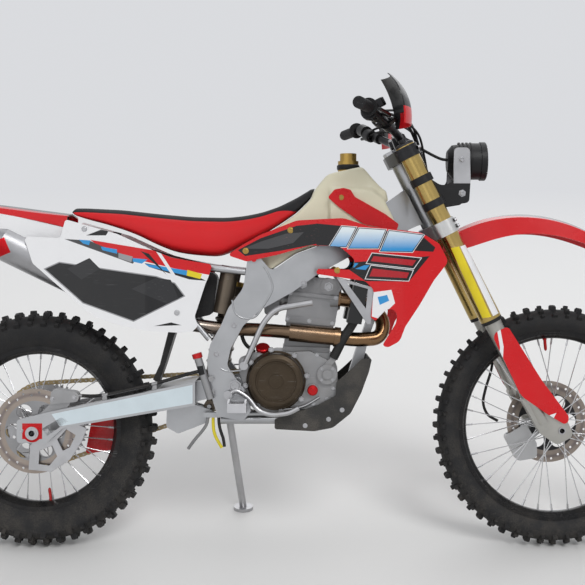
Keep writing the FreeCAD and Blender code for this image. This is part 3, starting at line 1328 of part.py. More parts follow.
EYE_IN, EYE_OUT = -13, 14
PIN = size("stand_pin_radius")
leg = rod("stand_leg", STAND_PIVOT, STAND_SOLE + UP * FOOT_THICKNESS / 2, "Sizes.stand_leg_radius")
foot = rod("stand_foot", STAND_SOLE, STAND_SOLE + UP * FOOT_THICKNESS, "Sizes.stand_foot_radius")
eye = rod("stand_eye", hinge(EYE_IN), hinge(EYE_OUT), "Sizes.stand_eye_radius")
eye_bore = rod("stand_eye_bore", hinge(EYE_IN - 5), hinge(EYE_OUT + 5), PIN + GAP)
node("side_stand", subtract("side_stand", fuse("stand_swinging", leg, foot, eye), eye_bore))

stand_boss = rod("stand_boss", hinge(EYE_IN - 20), hinge(EYE_IN - GAP), "Sizes.stand_eye_radius")
stand_pin = rod("stand_pin", hinge(EYE_IN - 10), hinge(EYE_OUT + 6), PIN)
stand_cap = rod("stand_cap", hinge(EYE_OUT + GAP), hinge(EYE_OUT + 6), PIN + 5)
node("frame_left", fuse("frame_left", left_side, stand_boss, stand_pin, stand_cap))


def check(item):
    """Stops when an object of the document is in error."""
    if {"Invalid", "Error"} & set(item.State):
        raise RuntimeError(f"{item.Label} is {item.State}")


doc.recompute()
for item in doc.Objects:
    check(item)
for label, item in NODES.items():
    shape = item.Shape
    if shape.isNull() or not shape.isValid():
        raise RuntimeError(f"{label} has no valid shape")

os.makedirs("parts", exist_ok=True)
whole = FreeCAD.BoundBox()
for label, item in NODES.items():
    item.Shape.exportStep(f"parts/{label}.step")
    whole.add(item.Shape.BoundBox)
    print(f"{label}: {len(item.Shape.Solids)} solids, {item.Shape.Volume / 1000:.0f} cm3")
print(f"x {whole.XMin:.2f} {whole.XMax:.2f} y {whole.YMin:.2f} {whole.YMax:.2f} "
      f"z {whole.ZMin:.2f} {whole.ZMax:.2f}")
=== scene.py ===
"""Looks of the dirt bike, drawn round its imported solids.

Places are written in the standing bike's own frame, in millimetres: x forward from the middle
of the wheelbase, y to the rider's left and z up from the floor. `lean` brings them into the
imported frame, in metres, as the bike leans on its side stand.
"""
import json
import logging
import math
from dataclasses import dataclass, replace
from enum import Enum

import bmesh
import bpy
import numpy as np
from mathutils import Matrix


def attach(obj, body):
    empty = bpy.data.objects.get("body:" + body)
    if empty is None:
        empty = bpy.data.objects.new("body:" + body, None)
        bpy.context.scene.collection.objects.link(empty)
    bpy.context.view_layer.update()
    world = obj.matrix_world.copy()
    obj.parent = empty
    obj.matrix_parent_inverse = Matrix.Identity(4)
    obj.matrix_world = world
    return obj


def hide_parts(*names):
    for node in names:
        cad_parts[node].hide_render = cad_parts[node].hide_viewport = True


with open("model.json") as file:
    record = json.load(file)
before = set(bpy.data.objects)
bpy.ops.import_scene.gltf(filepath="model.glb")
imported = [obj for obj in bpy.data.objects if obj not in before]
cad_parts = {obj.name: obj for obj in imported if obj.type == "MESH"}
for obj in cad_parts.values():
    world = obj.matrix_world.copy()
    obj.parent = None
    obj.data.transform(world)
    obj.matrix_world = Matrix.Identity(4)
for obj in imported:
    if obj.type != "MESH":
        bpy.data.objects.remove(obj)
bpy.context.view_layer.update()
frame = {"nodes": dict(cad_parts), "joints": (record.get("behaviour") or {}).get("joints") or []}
log = logging.getLogger("dirt_bike")

MM = 0.001
Array = np.ndarray
Colour = tuple[float, float, float]
Socket = bpy.types.NodeSocket
Tree = bpy.types.NodeTree
Material = bpy.types.Material


def joint(name: str) -> dict:
    """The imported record's joint of that name."""
    return next(item for item in frame["joints"] if item["name"] == name)


# The front wheel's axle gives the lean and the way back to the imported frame
HALF_BASE = 741.5
FRONT_AXLE = np.array([HALF_BASE, 0.0, 347.0])
REAR_AXLE = np.array([-HALF_BASE, 0.0, 339.0])
FRONT_SPIN = joint("front_wheel_spin")
ACROSS = np.array(FRONT_SPIN["axis"], float)
TURN = np.stack([[1.0, 0.0, 0.0], ACROSS, np.cross([1.0, 0.0, 0.0], ACROSS)], axis=1)
LEAN_ANGLE = math.atan2(ACROSS[2], ACROSS[1])
SHIFT = np.array(FRONT_SPIN["pos_m"], float) - TURN @ FRONT_AXLE * MM


def lean(points: Array) -> Array:
    """Upright millimetres to leaned metres: turn about x, then shift.

    Args:
        points: places in the standing bike's frame, (n, 3) or (3,), in millimetres.

    Returns:
        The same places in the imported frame, in metres.
    """
    return np.asarray(points, float) @ TURN.T * MM + SHIFT


RAKE = math.radians(26.5)
FORK_UP = np.array([-math.sin(RAKE), 0.0, math.cos(RAKE)])
FORK_AHEAD = np.array([math.cos(RAKE), 0.0, math.sin(RAKE)])
AXLE_LEAD = 36.0
LEG_FOOT = FRONT_AXLE - AXLE_LEAD * FORK_AHEAD
ALONG_X, ALONG_Y, ALONG_Z = np.eye(3)
LEG_SPREAD = 105.0
CLUTCH = (-58.0, 484.0)
ARM_OUTER = 112.0


def on_fork(points: Array) -> Array:
    """Places drawn along the fork, brought into the standing bike's frame.

    Args:
        points: (n, 3) millimetres ahead of the legs, to the left, and up from the legs' foot.

    Returns:
        The same places as x, y and z, in millimetres.
    """
    points = np.asarray(points, float)
    return (LEG_FOOT + points[..., :1] * FORK_AHEAD + points[..., 1:2] * ALONG_Y
            + points[..., 2:] * FORK_UP)


# Frames and grids
def unit(vectors: Array) -> Array:
    """Vectors divided by their lengths."""
    vectors = np.asarray(vectors, float)
    return vectors / np.linalg.norm(vectors, axis=-1, keepdims=True)


def even_turns(count: int) -> Array:
    """Angles that split a full turn evenly, from zero."""
    return np.linspace(0, 2 * math.pi, count, endpoint=False)


def ring(count: int, radius: float = 1.0) -> Array:
    """A circle's corners about the origin, (count, 2)."""
    turns = even_turns(count)
    return radius * np.stack([np.cos(turns), np.sin(turns)], axis=1)


def quads(rows: int, columns: int, wrap_rows: bool, wrap_columns: bool) -> Array:
    """Faces of a grid of points stored row by row.

    Args:
        rows: points along the first way.
        columns: points along the second way.
        wrap_rows: joins the last row to the first.
        wrap_columns: joins the last column to the first.

    Returns:
        Corner numbers, (m, 4).
    """
    first = np.arange(rows if wrap_rows else rows - 1)[:, None]
    second = np.arange(columns if wrap_columns else columns - 1)[None, :]
    ahead = (first + 1) % rows
    beside = (second + 1) % columns
    corners = [first * columns + second, first * columns + beside,
               ahead * columns + beside, ahead * columns + second]
    return np.stack(np.broadcast_arrays(*corners), axis=-1).reshape(-1, 4)


def capped(rows: int, sides: int) -> list:
    """Faces of a stack of rings that is closed at both ends.

    Args:
        rows: number of rings.
        sides: points in a ring.

    Returns:
        Faces as lists of corner numbers.
    """
    last = (rows - 1) * sides
    return [*quads(rows, sides, False, True).tolist(), list(range(sides))[::-1],
            list(range(last, last + sides))]


@dataclass
class Shape:
    """Points in upright millimetres with faces of any number of corners."""

    points: Array
    faces: list

    @staticmethod
    def joined(shapes: list) -> "Shape":
        """Several shapes as one, their faces' numbers moved on.

        Args:
            shapes: the shapes, in order.
        """
        faces = []
        start = 0
        for shape in shapes:
            faces += [[corner + start for corner in face] for face in shape.faces]
            start += len(shape.points)
        return Shape(np.concatenate([shape.points for shape in shapes]), faces)

    def on_both_sides(self) -> "Shape":
        """The shape with its mirror image over the middle plane, faces turned outwards again."""
        twin = Shape(self.points * [1.0, -1.0, 1.0], [face[::-1] for face in self.faces])
        return Shape.joined([self, twin])


def lathe(profile: Array, centre: Array, axis: Array, steps: int) -> Shape:
    """A closed profile turned round an axis.

    A point (s, r) of the profile at turn a goes to centre + s axis + r (cos a u + sin a v),
    where u and v stand square to the axis.

    Args:
        profile: (n, 2) places along the axis and radii, closed.
        centre: where the axis starts.
        axis: its direction.
        steps: stations round the axis.
    """
    axis = unit(axis)
    side = unit(np.cross(axis, [0.13, 0.21, 0.97]))
    other = np.cross(axis, side)
    profile = np.asarray(profile, float)
    spread = ring(steps) @ np.stack([side, other])
    points = (np.asarray(centre, float) + profile[None, :, :1] * axis
              + profile[None, :, 1:] * spread[:, None, :])
    return Shape(points.reshape(-1, 3), quads(steps, len(profile), True, True).tolist())


def tube(path: Array, radius: float | tuple, sides: int, up: tuple = (0.1, 1.0, 0.05)) -> Shape:
    """A round bar along a path, closed at its ends.

    Ring i stands at path point i, square to the path's direction there, and its radius may
    differ from point to point.

    Args:
        path: (n, 3) centre line.
        radius: one radius or one for each point.
        sides: points in a ring.
        up: a direction that the path never takes.
    """
    path = np.asarray(path, float)
    along = unit(np.gradient(path, axis=0))
    side = unit(np.cross(along, up))
    other = np.cross(along, side)
    radii = np.broadcast_to(np.asarray(radius, float), len(path))[:, None, None]
    around = ring(sides) @ np.stack([side, other], axis=1)
    points = path[:, None, :] + radii * around
    return Shape(points.reshape(-1, 3), capped(len(path), sides))


def smooth_path(corners: Array, steps: int) -> Array:
    """A curve through given points, worked out as a Catmull-Rom spline.

    Args:
        corners: (n, 3) points that the curve passes through.
        steps: points in the result.

    Returns:
        The curve's points, (steps, 3).
    """
    corners = np.asarray(corners, float)
    padded = np.concatenate([2 * corners[:1] - corners[1:2], corners,
                             2 * corners[-1:] - corners[-2:-1]])
    place = np.linspace(0, len(corners) - 1, steps)
    index = np.minimum(place.astype(int), len(corners) - 2)
    t = (place - index)[:, None]
    a, b, c, d = (padded[index + k] for k in range(4))
    return 0.5 * (2 * b + (c - a) * t + (2 * a - 5 * b + 4 * c - d) * t ** 2
                  + (3 * b - a - 3 * c + d) * t ** 3)


def repeat(template: Shape, frames: Array, places: Array) -> Shape:
    """Copies of a small shape, one for each frame and place.

    Args:
        template: the shape about its own origin.
        frames: (n, 3, 3) with the template's axes as columns.
        places: (n, 3) where each copy's origin goes.
    """
    count = len(template.points)
    points = np.einsum("nij,kj->nki", frames, template.points) + places[:, None, :]
    faces = [[corner + count * index for corner in face]
             for index in range(len(places)) for face in template.faces]
    return Shape(points.reshape(-1, 3), faces)


def frames_from(up: Array, along: Array) -> Array:
    """Frames whose z is `up` and whose x lies near `along`, as (n, 3, 3).

    Args:
        up: (n, 3) ways of each frame's z.
        along: ways near each frame's x.
    """
    up = unit(up)
    across = unit(np.cross(up, along))
    return np.stack([np.cross(across, up), across, up], axis=-1)


def block(length: float, width: float, height: float, taper: float = 0.85,
          edge: float = 1.5) -> Shape:
    """A moulded block on z = 0 whose sides lean in and whose top edges are cut off.

    Args:
        length: along x at its foot.
        width: along y at its foot.
        height: along z.
        taper: size of the top over that of the foot.
        edge: width of the cut along the top's edges.
    """
    corner = np.array([[-1, -1], [1, -1], [1, 1], [-1, 1]], float)
    half = np.array([length, width]) / 2
    low = np.hstack([corner * half, np.zeros((4, 1))])
    middle = np.hstack([corner * half * taper, np.full((4, 1), height - edge)])
    top = np.hstack([corner * (half * taper - edge), np.full((4, 1), height)])
    faces = [[0, 3, 2, 1], [8, 9, 10, 11]]
    for first in (0, 4):
        faces += [[first + k, first + (k + 1) % 4, first + 4 + (k + 1) % 4, first + 4 + k]
                  for k in range(4)]
    return Shape(np.concatenate([low, middle, top]), faces)


def hex_bolt(radius: float, height: float, sides: int = 6) -> Shape:
    """A bolt head on its washer, standing on z = 0, with a sunk socket.

    Args:
        radius: of the head.
        height: of the head over its washer.
        sides: 6 for a hexagon, more for a round head.
    """
    rings = [(radius * 1.35, 0.0), (radius * 1.35, 1.0), (radius, 1.0), (radius, height * 0.85),
             (radius * 0.86, height), (radius * 0.55, height), (radius * 0.5, height * 0.55)]
    points = [np.hstack([ring(sides, r), np.full((sides, 1), z)]) for r, z in rings]
    return Shape(np.concatenate(points), capped(len(rings), sides))


def bolts(places: Array, outward: Array, radius: float, height: float, sides: int = 6) -> Shape:
    """Bolt heads at given places, all facing one way.

    Args:
        places: (n, 3) where the heads' washers sit.
        outward: the way that they face.
        radius: of each head.
        height: of each head over its washer.
        sides: corners of each head.
    """
    places = np.asarray(places, float)
    up = np.broadcast_to(np.asarray(outward, float), places.shape)
    return repeat(hex_bolt(radius, height, sides), frames_from(up, [0.9, 0.1, 0.35]), places)


def mesh_points(mesh: bpy.types.Mesh) -> Array:
    """A mesh's points, (n, 3)."""
    points = np.empty(len(mesh.vertices) * 3)
    mesh.vertices.foreach_get("co", points)
    return points.reshape(-1, 3)


def plate(outline: Array, start: float, end: float, holes: tuple = ()) -> Shape:
    """A flat plate on the side view, with holes, between two distances to the left.

    Blender fills the outlines as a flat curve with thickness, and its mesh is turned so that
    the curve's x and y become the bike's x and z.

    Args:
        outline: (n, 2) corners as x and z.
        start: y of its right face.
        end: y of its left face.
        holes: outlines that are cut out.
    """
    curve = bpy.data.curves.new("outline", "CURVE")
    curve.dimensions = "2D"
    curve.fill_mode = "BOTH"
    curve.extrude = (end - start) / 2
    for loop in (outline, *holes):
        loop = np.asarray(loop, float)
        spline = curve.splines.new("POLY")
        spline.points.add(len(loop) - 1)
        flat = np.concatenate([loop, np.zeros((len(loop), 1)), np.ones((len(loop), 1))], axis=1)
        spline.points.foreach_set("co", flat.ravel())
        spline.use_cyclic_u = True
    item = bpy.data.objects.new("outline", curve)
    mesh = bpy.data.meshes.new_from_object(item)
    points = mesh_points(mesh)
    faces = [list(face.vertices) for face in mesh.polygons]
    bpy.data.objects.remove(item)
    bpy.data.curves.remove(curve)
    bpy.data.meshes.remove(mesh)
    middle = (start + end) / 2
    return Shape(np.stack([points[:, 0], middle - points[:, 2], points[:, 1]], axis=1), faces)


# Finishes
class Surface(Enum):
    """Kinds of grain that a finish may have."""

    MOULDED = "moulded"
    CAST = "cast"
    BRUSHED = "brushed"
    RUBBER = "rubber"


def feed(tree: Tree, socket: Socket, value: object) -> None:
    """Links a socket to another, or sets it to a number or a colour.

    Args:
        tree: where both sockets are.
        socket: the one to fill.
        value: another socket, a number or a colour.
    """
    if isinstance(value, Socket):
        tree.links.new(value, socket)
    elif isinstance(value, tuple):
        socket.default_value = (*value, 1.0)
    else:
        socket.default_value = value


def noise_field(tree: Tree, vector: Socket, scale: float | Socket,
                detail: float) -> bpy.types.Node:
    """A noise texture node in a tree.

    Args:
        tree: where the node goes.
        vector: the coordinates that it reads.
        scale: lumps to a unit, as a number or a socket.
        detail: octaves of finer noise.
    """
    noise = tree.nodes.new("ShaderNodeTexNoise")
    noise.inputs["Detail"].default_value = detail
    feed(tree, noise.inputs["Vector"], vector)
    feed(tree, noise.inputs["Scale"], scale)
    return noise


def new_group(name: str, level: str, default: float, results: tuple) -> tuple:
    """An empty shader node group that takes a vector and one number.

    Args:
        name: the group's name.
        level: the number's name.
        default: its value where none is given.
        results: names of the numbers that the group gives.

    Returns:
        The group, its input node and its output node.
    """
    group = bpy.data.node_groups.new(name, "ShaderNodeTree")
    sockets = group.interface
    sockets.new_socket("Vector", in_out="INPUT", socket_type="NodeSocketVector")
    number = sockets.new_socket(level, in_out="INPUT", socket_type="NodeSocketFloat")
    number.default_value = default
    for label in results:
        sockets.new_socket(label, in_out="OUTPUT", socket_type="NodeSocketFloat")
    return group, group.nodes.new("NodeGroupInput"), group.nodes.new("NodeGroupOutput")


def calc(tree: Tree, operation: str, *values: object, clamp: bool = False) -> Socket:
    """A maths node and its result.

    Args:
        tree: where the node goes.
        operation: Blender's name for the sum.
        values: numbers or sockets, in order.
        clamp: keeps the result from 0 to 1.
    """
    node = tree.nodes.new("ShaderNodeMath")
    node.operation = operation
    node.use_clamp = clamp
    for socket, value in zip(node.inputs, values):
        feed(tree, socket, value)
    return node.outputs[0]


def grain_group(kind: Surface) -> Tree:
    """Height and tone of a surface's grain.

    The height is fine noise over coarser noise, drawn out along x where the metal is brushed.

    Args:
        kind: the surface whose grain it is.
    """
    group, start, end = new_group(f"{kind.value} grain", "Size", 1.0, ("Height", "Tone"))
    stretch = group.nodes.new("ShaderNodeMapping")
    stretch.inputs["Scale"].default_value = (0.04, 1, 1) if kind is Surface.BRUSHED else (1, 1, 1)
    group.links.new(start.outputs["Vector"], stretch.inputs["Vector"])
    scale = calc(group, "DIVIDE", 1.0, start.outputs["Size"])
    fine = noise_field(group, stretch.outputs[0], scale, 3.0)
    if kind in (Surface.CAST, Surface.RUBBER):
        cells = group.nodes.new("ShaderNodeTexVoronoi")
        group.links.new(stretch.outputs[0], cells.inputs["Vector"])
        group.links.new(calc(group, "MULTIPLY", scale, 0.8), cells.inputs["Scale"])
        height = calc(group, "MULTIPLY_ADD", cells.outputs["Distance"], 0.6, fine.outputs["Fac"])
    else:
        height = fine.outputs["Fac"]
    coarse = noise_field(group, start.outputs["Vector"], 0.018, 4.0)
    group.links.new(height, end.inputs["Height"])
    group.links.new(coarse.outputs["Fac"], end.inputs["Tone"])
    return group


def scuff_group() -> Tree:
    """Thin rubbed streaks: noise drawn out along two slanted ways, kept only at its peaks."""
    group, start, end = new_group("scuffs", "Amount", 0.3, ("Mask",))
    marks = []
    for turn in (0.5, -0.9):
        slant = group.nodes.new("ShaderNodeMapping")
        slant.inputs["Rotation"].default_value = (0.2, turn, 0.1)
        slant.inputs["Scale"].default_value = (0.02, 0.9, 0.9)
        group.links.new(start.outputs["Vector"], slant.inputs["Vector"])
        streak = noise_field(group, slant.outputs[0], 0.6, 2.0)
        marks.append(calc(group, "MULTIPLY_ADD", streak.outputs["Fac"], 9.0, -5.9, clamp=True))
    patch = noise_field(group, start.outputs["Vector"], 0.03, 2.0)
    patches = calc(group, "MULTIPLY_ADD", patch.outputs["Fac"], 5.0, -2.2, clamp=True)
    both = calc(group, "MAXIMUM", marks[0], marks[1])
    worn = calc(group, "MULTIPLY", both, patches)
    group.links.new(calc(group, "MULTIPLY", worn, start.outputs["Amount"]), end.inputs["Mask"])
    return group


def dust_group() -> Tree:
    """Dry road dust, more of it low on the bike and where a broad noise peaks."""
    group, start, end = new_group("dust", "Amount", 0.2, ("Mask",))
    split = group.nodes.new("ShaderNodeSeparateXYZ")
    group.links.new(start.outputs["Vector"], split.inputs[0])
    low = calc(group, "MULTIPLY_ADD", split.outputs["Z"], -1 / 900, 1.0, clamp=True)
    patch = noise_field(group, start.outputs["Vector"], 0.025, 6.0)
    speck = noise_field(group, start.outputs["Vector"], 0.4, 3.0)
    both = calc(group, "MULTIPLY", patch.outputs["Fac"], speck.outputs["Fac"])
    spread = calc(group, "MULTIPLY_ADD", both, 5.0, -0.9, clamp=True)
    settled = calc(group, "MULTIPLY", spread, low)
    group.links.new(calc(group, "MULTIPLY", settled, start.outputs["Amount"]), end.inputs["Mask"])
    return group


GRAINS = {kind: grain_group(kind) for kind in Surface}
SCUFFS = scuff_group()
DUST = dust_group()
DUST_COLOUR = (0.30, 0.26, 0.21)


@dataclass(frozen=True)
class Finish:
    """One finish: its colour, gloss and grain, in a maker's terms.

    The dust and scuffs are shares from 0 to 1, the grain's size is in millimetres and its
    depth is the bump's height in millimetres.
    """

    name: str
    colour: Colour
    roughness: float = 0.45
    metallic: float = 0.0
    coat: float = 0.0
    surface: Surface = Surface.MOULDED
    grain: float = 1.2
    depth: float = 0.06
    tone: float = 0.25
    scuffs: float = 0.3
    scuff_colour: Colour = (0.6, 0.6, 0.6)
    dust: float = 0.15
    shine: float = 0.3

    def build(self) -> "Paint":
        """The finish as a node tree, ready for stripes and fields."""
        return Paint(self)

    def material(self) -> Material:
        """The finish as a plain material with nothing painted on it."""
        found = bpy.data.materials.get(self.name)
        return found if found else Paint(self).done()


class Paint:
    """A finish's node tree: base colour, painted fields over it, then wear and dust."""

    def __init__(self, finish: Finish) -> None:
        """Starts the tree with the finish's toned base colour."""
        self.finish = finish
        self.material = bpy.data.materials.new(finish.name)
        self.material.use_nodes = True
        self.tree = self.material.node_tree
        self.shader = self.tree.nodes["Principled BSDF"]
        coordinates = self.tree.nodes.new("ShaderNodeTexCoord")
        stand = self.tree.nodes.new("ShaderNodeMapping")
        stand.vector_type = "TEXTURE"
        stand.inputs["Location"].default_value = tuple(SHIFT)
        stand.inputs["Rotation"].default_value = (LEAN_ANGLE, 0.0, 0.0)
        stand.inputs["Scale"].default_value = (MM, MM, MM)
        self.tree.links.new(coordinates.outputs["Object"], stand.inputs["Vector"])
        self.place = stand.outputs[0]
        split = self.tree.nodes.new("ShaderNodeSeparateXYZ")
        self.tree.links.new(self.place, split.inputs[0])
        self.x, self.y, self.z = split.outputs
        self.grain = self.group(GRAINS[finish.surface], Size=finish.grain)
        self.colour = self.toned(finish.colour)
        self.metal: object = finish.metallic
        self.rough: object = finish.roughness

    def group(self, group: Tree, **values: float) -> bpy.types.Node:
        """A shared group placed on this material's upright coordinates.

        Args:
            group: the shared group.
            values: numbers for its named inputs.
        """
        node = self.tree.nodes.new("ShaderNodeGroup")
        node.node_tree = group
        self.tree.links.new(self.place, node.inputs["Vector"])
        for name, value in values.items():
            node.inputs[name].default_value = value
        return node

    def calc(self, operation: str, *values: object, clamp: bool = False) -> Socket:
        """A maths node in this tree."""
        return calc(self.tree, operation, *values, clamp=clamp)

    def blend(self, mask: object, below: object, above: object) -> Socket:
        """Two colours mixed by a mask.

        Args:
            mask: zero for the first colour and one for the second.
            below: the first colour.
            above: the second.
        """
        node = self.tree.nodes.new("ShaderNodeMix")
        node.data_type = "RGBA"
        for socket, value in zip(node.inputs[:1] + node.inputs[6:8], (mask, below, above)):
            feed(self.tree, socket, value)
        return node.outputs[2]

    def toned(self, colour: Colour) -> Socket:
        """A colour that the grain's broad tone makes a little lighter and darker.

        Args:
            colour: the middle of its range.
        """
        spread = self.finish.tone
        dark = tuple(c * (1 - spread) for c in colour)
        light = tuple(min(1.0, c * (1 + spread)) for c in colour)
        return self.blend(self.grain.outputs["Tone"], dark, light)

    def inside(self, outline: list, soft: float = 0.8) -> Socket:
        """A mask of a convex field drawn on the bike's side view.

        It is one where the smallest distance inside the outline's edges is above zero, and
        fades over `soft` millimetres.

        Args:
            outline: (x, z) corners in order, in millimetres.
            soft: width of the fade.
        """
        corners = np.asarray(outline, float)
        ahead = np.roll(corners, -1, axis=0)
        edge = unit(ahead - corners)
        normal = np.stack([-edge[:, 1], edge[:, 0]], axis=1)
        middle = corners.mean(axis=0)
        normal *= np.sign(((middle - corners) * normal).sum(axis=1))[:, None]
        nearest: object = None
        for (nx, nz), corner in zip(normal, corners):
            offset = -(nx * corner[0] + nz * corner[1])
            part = self.calc("MULTIPLY_ADD", self.x, float(nx), float(offset))
            far = self.calc("MULTIPLY_ADD", self.z, float(nz), part)
            nearest = far if nearest is None else self.calc("MINIMUM", nearest, far)
        return self.calc("MULTIPLY_ADD", nearest, 1 / soft, 0.5, clamp=True)

    def field(self, colour: Colour, *outlines: list) -> "Paint":
        """Paints convex fields of one colour over what is there.

        Args:
            colour: the fields' colour.
            outlines: convex (x, z) outlines.
        """
        for outline in outlines:
            self.colour = self.blend(self.inside(outline), self.colour, self.toned(colour))
        return self

    def cover(self, mask: Socket, colour: Colour, metallic: float | None = None,
              rough: float | None = None) -> "Paint":
        """Covers a masked part with another colour, and metal or gloss if given.

        Args:
            mask: one where the cover lies.
            colour: its colour.
            metallic: its metal share, or None to leave that as it is.
            rough: its roughness, or None to leave that as it is.
        """
        self.colour = self.blend(mask, self.colour, self.toned(colour))
        if metallic is not None:
            self.metal = self.level(mask, self.metal, metallic)
        if rough is not None:
            self.rough = self.level(mask, self.rough, rough)
        return self

    def level(self, mask: Socket, below: object, above: object) -> Socket:
        """Two values mixed by a mask.

        Args:
            mask: zero for the first value and one for the second.
            below: the first value.
            above: the second.
        """
        node = self.tree.nodes.new("ShaderNodeMix")
        for socket, value in zip(node.inputs[:1] + node.inputs[2:4], (mask, below, above)):
            feed(self.tree, socket, value)
        return node.outputs[0]

    def both(self, first: Socket, second: Socket) -> Socket:
        """A mask that is one where two others are."""
        return self.calc("MULTIPLY", first, second)

    def inverse(self, mask: Socket) -> Socket:
        """A mask that is one where another is zero."""
        return self.calc("SUBTRACT", 1.0, mask)

    def above(self, socket: Socket, edge: float, soft: float = 1.0) -> Socket:
        """A mask that is one where a value is above an edge."""
        return self.calc("MULTIPLY_ADD", socket, 1 / soft, 0.5 - edge / soft, clamp=True)

    def between(self, socket: Socket, low: float, high: float, soft: float = 1.0) -> Socket:
        """A mask that is one where a value lies between two edges."""
        under = self.calc("MULTIPLY_ADD", socket, -1 / soft, 0.5 + high / soft, clamp=True)
        return self.both(self.above(socket, low, soft), under)

    def guide_gap(self, x: float) -> Socket:
        """A mask that is zero at a hose guide and one away from it."""
        return self.inverse(self.between(self.x, x - 8, x + 8))

    def up_fork(self) -> Socket:
        """Distance up the fork from the legs' foot, in millimetres."""
        along = self.calc("MULTIPLY_ADD", self.x, float(FORK_UP[0]),
                          float(-LEG_FOOT @ FORK_UP))
        return self.calc("MULTIPLY_ADD", self.z, float(FORK_UP[2]), along)

    def off_middle(self) -> Socket:
        """Distance from the bike's middle plane, in millimetres."""
        return self.calc("ABSOLUTE", self.y)

    def from_axle(self, axle: Array) -> Socket:
        """Distance from an axle's line, in millimetres.

        Args:
            axle: a place on the line.
        """
        across = self.calc("SUBTRACT", self.x, float(axle[0]))
        up = self.calc("SUBTRACT", self.z, float(axle[2]))
        return self.calc("SQRT", self.calc("ADD", self.calc("MULTIPLY", across, across),
                                           self.calc("MULTIPLY", up, up)))

    def done(self) -> Material:
        """Adds scuffs, dust and bump, links the shader and gives the material."""
        finish = self.finish
        scuffs = self.group(SCUFFS, Amount=finish.scuffs).outputs["Mask"]
        dust = self.group(DUST, Amount=finish.dust).outputs["Mask"]
        worn = self.blend(scuffs, self.colour, finish.scuff_colour)
        self.tree.links.new(self.blend(dust, worn, DUST_COLOUR), self.shader.inputs["Base Color"])
        tone = self.calc("MULTIPLY_ADD", self.grain.outputs["Tone"], 0.16, -0.08)
        rough = self.calc("ADD", self.calc("MULTIPLY_ADD", dust, 0.4, tone), self.rough, clamp=True)
        self.tree.links.new(rough, self.shader.inputs["Roughness"])
        feed(self.tree, self.shader.inputs["Metallic"], self.metal)
        for label, value in (("Coat Weight", finish.coat), ("Coat Roughness", 0.08),
                             ("Specular IOR Level", finish.shine)):
            self.shader.inputs[label].default_value = value
        bump = self.tree.nodes.new("ShaderNodeBump")
        bump.inputs["Strength"].default_value = 0.6
        bump.inputs["Distance"].default_value = finish.depth * MM
        self.tree.links.new(self.grain.outputs["Height"], bump.inputs["Height"])
        self.tree.links.new(bump.outputs[0], self.shader.inputs["Normal"])
        return self.material


RED = (0.60, 0.006, 0.010)
BLACK = (0.008, 0.008, 0.009)
WHITE = (0.80, 0.80, 0.81)
GREY = (0.055, 0.055, 0.058)
TRIM_GREY = (0.3, 0.3, 0.31)
BLUE = (0.03, 0.28, 0.62)
YELLOW = (0.75, 0.60, 0.02)
ANODISED = (0.50, 0.012, 0.015)

RUBBER = Finish("tyre rubber", (0.014, 0.014, 0.015), 0.72, surface=Surface.RUBBER, grain=1.6,
                depth=0.25, scuffs=0.1, scuff_colour=(0.07, 0.07, 0.07), dust=0.12)
RIM = Finish("black rim", (0.012, 0.012, 0.013), 0.28, 0.5, surface=Surface.BRUSHED,
             scuffs=0.25, dust=0.08)
SPOKE = Finish("steel spokes", (0.55, 0.55, 0.56), 0.25, 1.0, surface=Surface.BRUSHED, grain=0.5,
               dust=0.1)
HUB = Finish("cast hub", (0.42, 0.42, 0.43), 0.38, 1.0, surface=Surface.CAST, grain=0.8, dust=0.15)
CHAIN = Finish("chain", (0.20, 0.15, 0.07), 0.38, 1.0, surface=Surface.CAST, grain=0.7, dust=0.3)
FRAME = Finish("satin frame", (0.40, 0.405, 0.415), 0.36, 1.0, surface=Surface.BRUSHED,
               depth=0.05, tone=0.12, scuffs=0.35, scuff_colour=(0.5, 0.5, 0.52), dust=0.06)
STEEL = Finish("bright steel", (0.44, 0.44, 0.45), 0.3, 1.0, surface=Surface.BRUSHED, grain=0.8,
               dust=0.1)
CASTING = Finish("engine casting", (0.27, 0.27, 0.275), 0.48, 0.8, surface=Surface.CAST, grain=1.0,
                 depth=0.16, dust=0.3)
BRONZE = Finish("bronze cover", (0.055, 0.040, 0.026), 0.42, 0.75, surface=Surface.CAST, grain=0.8,
                depth=0.08, dust=0.1)
PIPE = Finish("tinted pipe", (0.17, 0.115, 0.075), 0.26, 1.0, surface=Surface.BRUSHED, grain=1.0,
              tone=0.5, dust=0.05)
SILENCER = Finish("silencer skin", (0.34, 0.34, 0.35), 0.36, 1.0, surface=Surface.BRUSHED,
                  grain=1.5, dust=0.05)
RADIATOR = Finish("radiator", (0.03, 0.03, 0.032), 0.5, 0.6, surface=Surface.CAST, dust=0.3)
TANK = Finish("cream tank", (0.74, 0.70, 0.53), 0.38, coat=0.15, grain=2.5, depth=0.05, tone=0.06,
              scuffs=0.15, scuff_colour=(0.6, 0.56, 0.42), dust=0.04)
CAP = Finish("gold cap", (0.40, 0.26, 0.07), 0.3, 0.9, surface=Surface.BRUSHED)
SEAT = Finish("seat cover", RED, 0.6, grain=0.9, depth=0.2, tone=0.1, scuffs=0.1,
              scuff_colour=(0.4, 0.1, 0.1), dust=0.04)
RED_PLASTIC = Finish("red plastic", RED, 0.28, coat=0.12, depth=0.03, tone=0.05, scuffs=0.22,
                     scuff_colour=(0.7, 0.25, 0.25), dust=0.04)
FENDER_PLASTIC = replace(RED_PLASTIC, name="fender plastic", roughness=0.26, coat=0.15,
                         scuffs=0.15, dust=0.03)
WHITE_PLASTIC = Finish("white plastic", WHITE, 0.3, coat=0.3, depth=0.03, tone=0.03, scuffs=0.15,
                       scuff_colour=(0.55, 0.55, 0.55), dust=0.05)
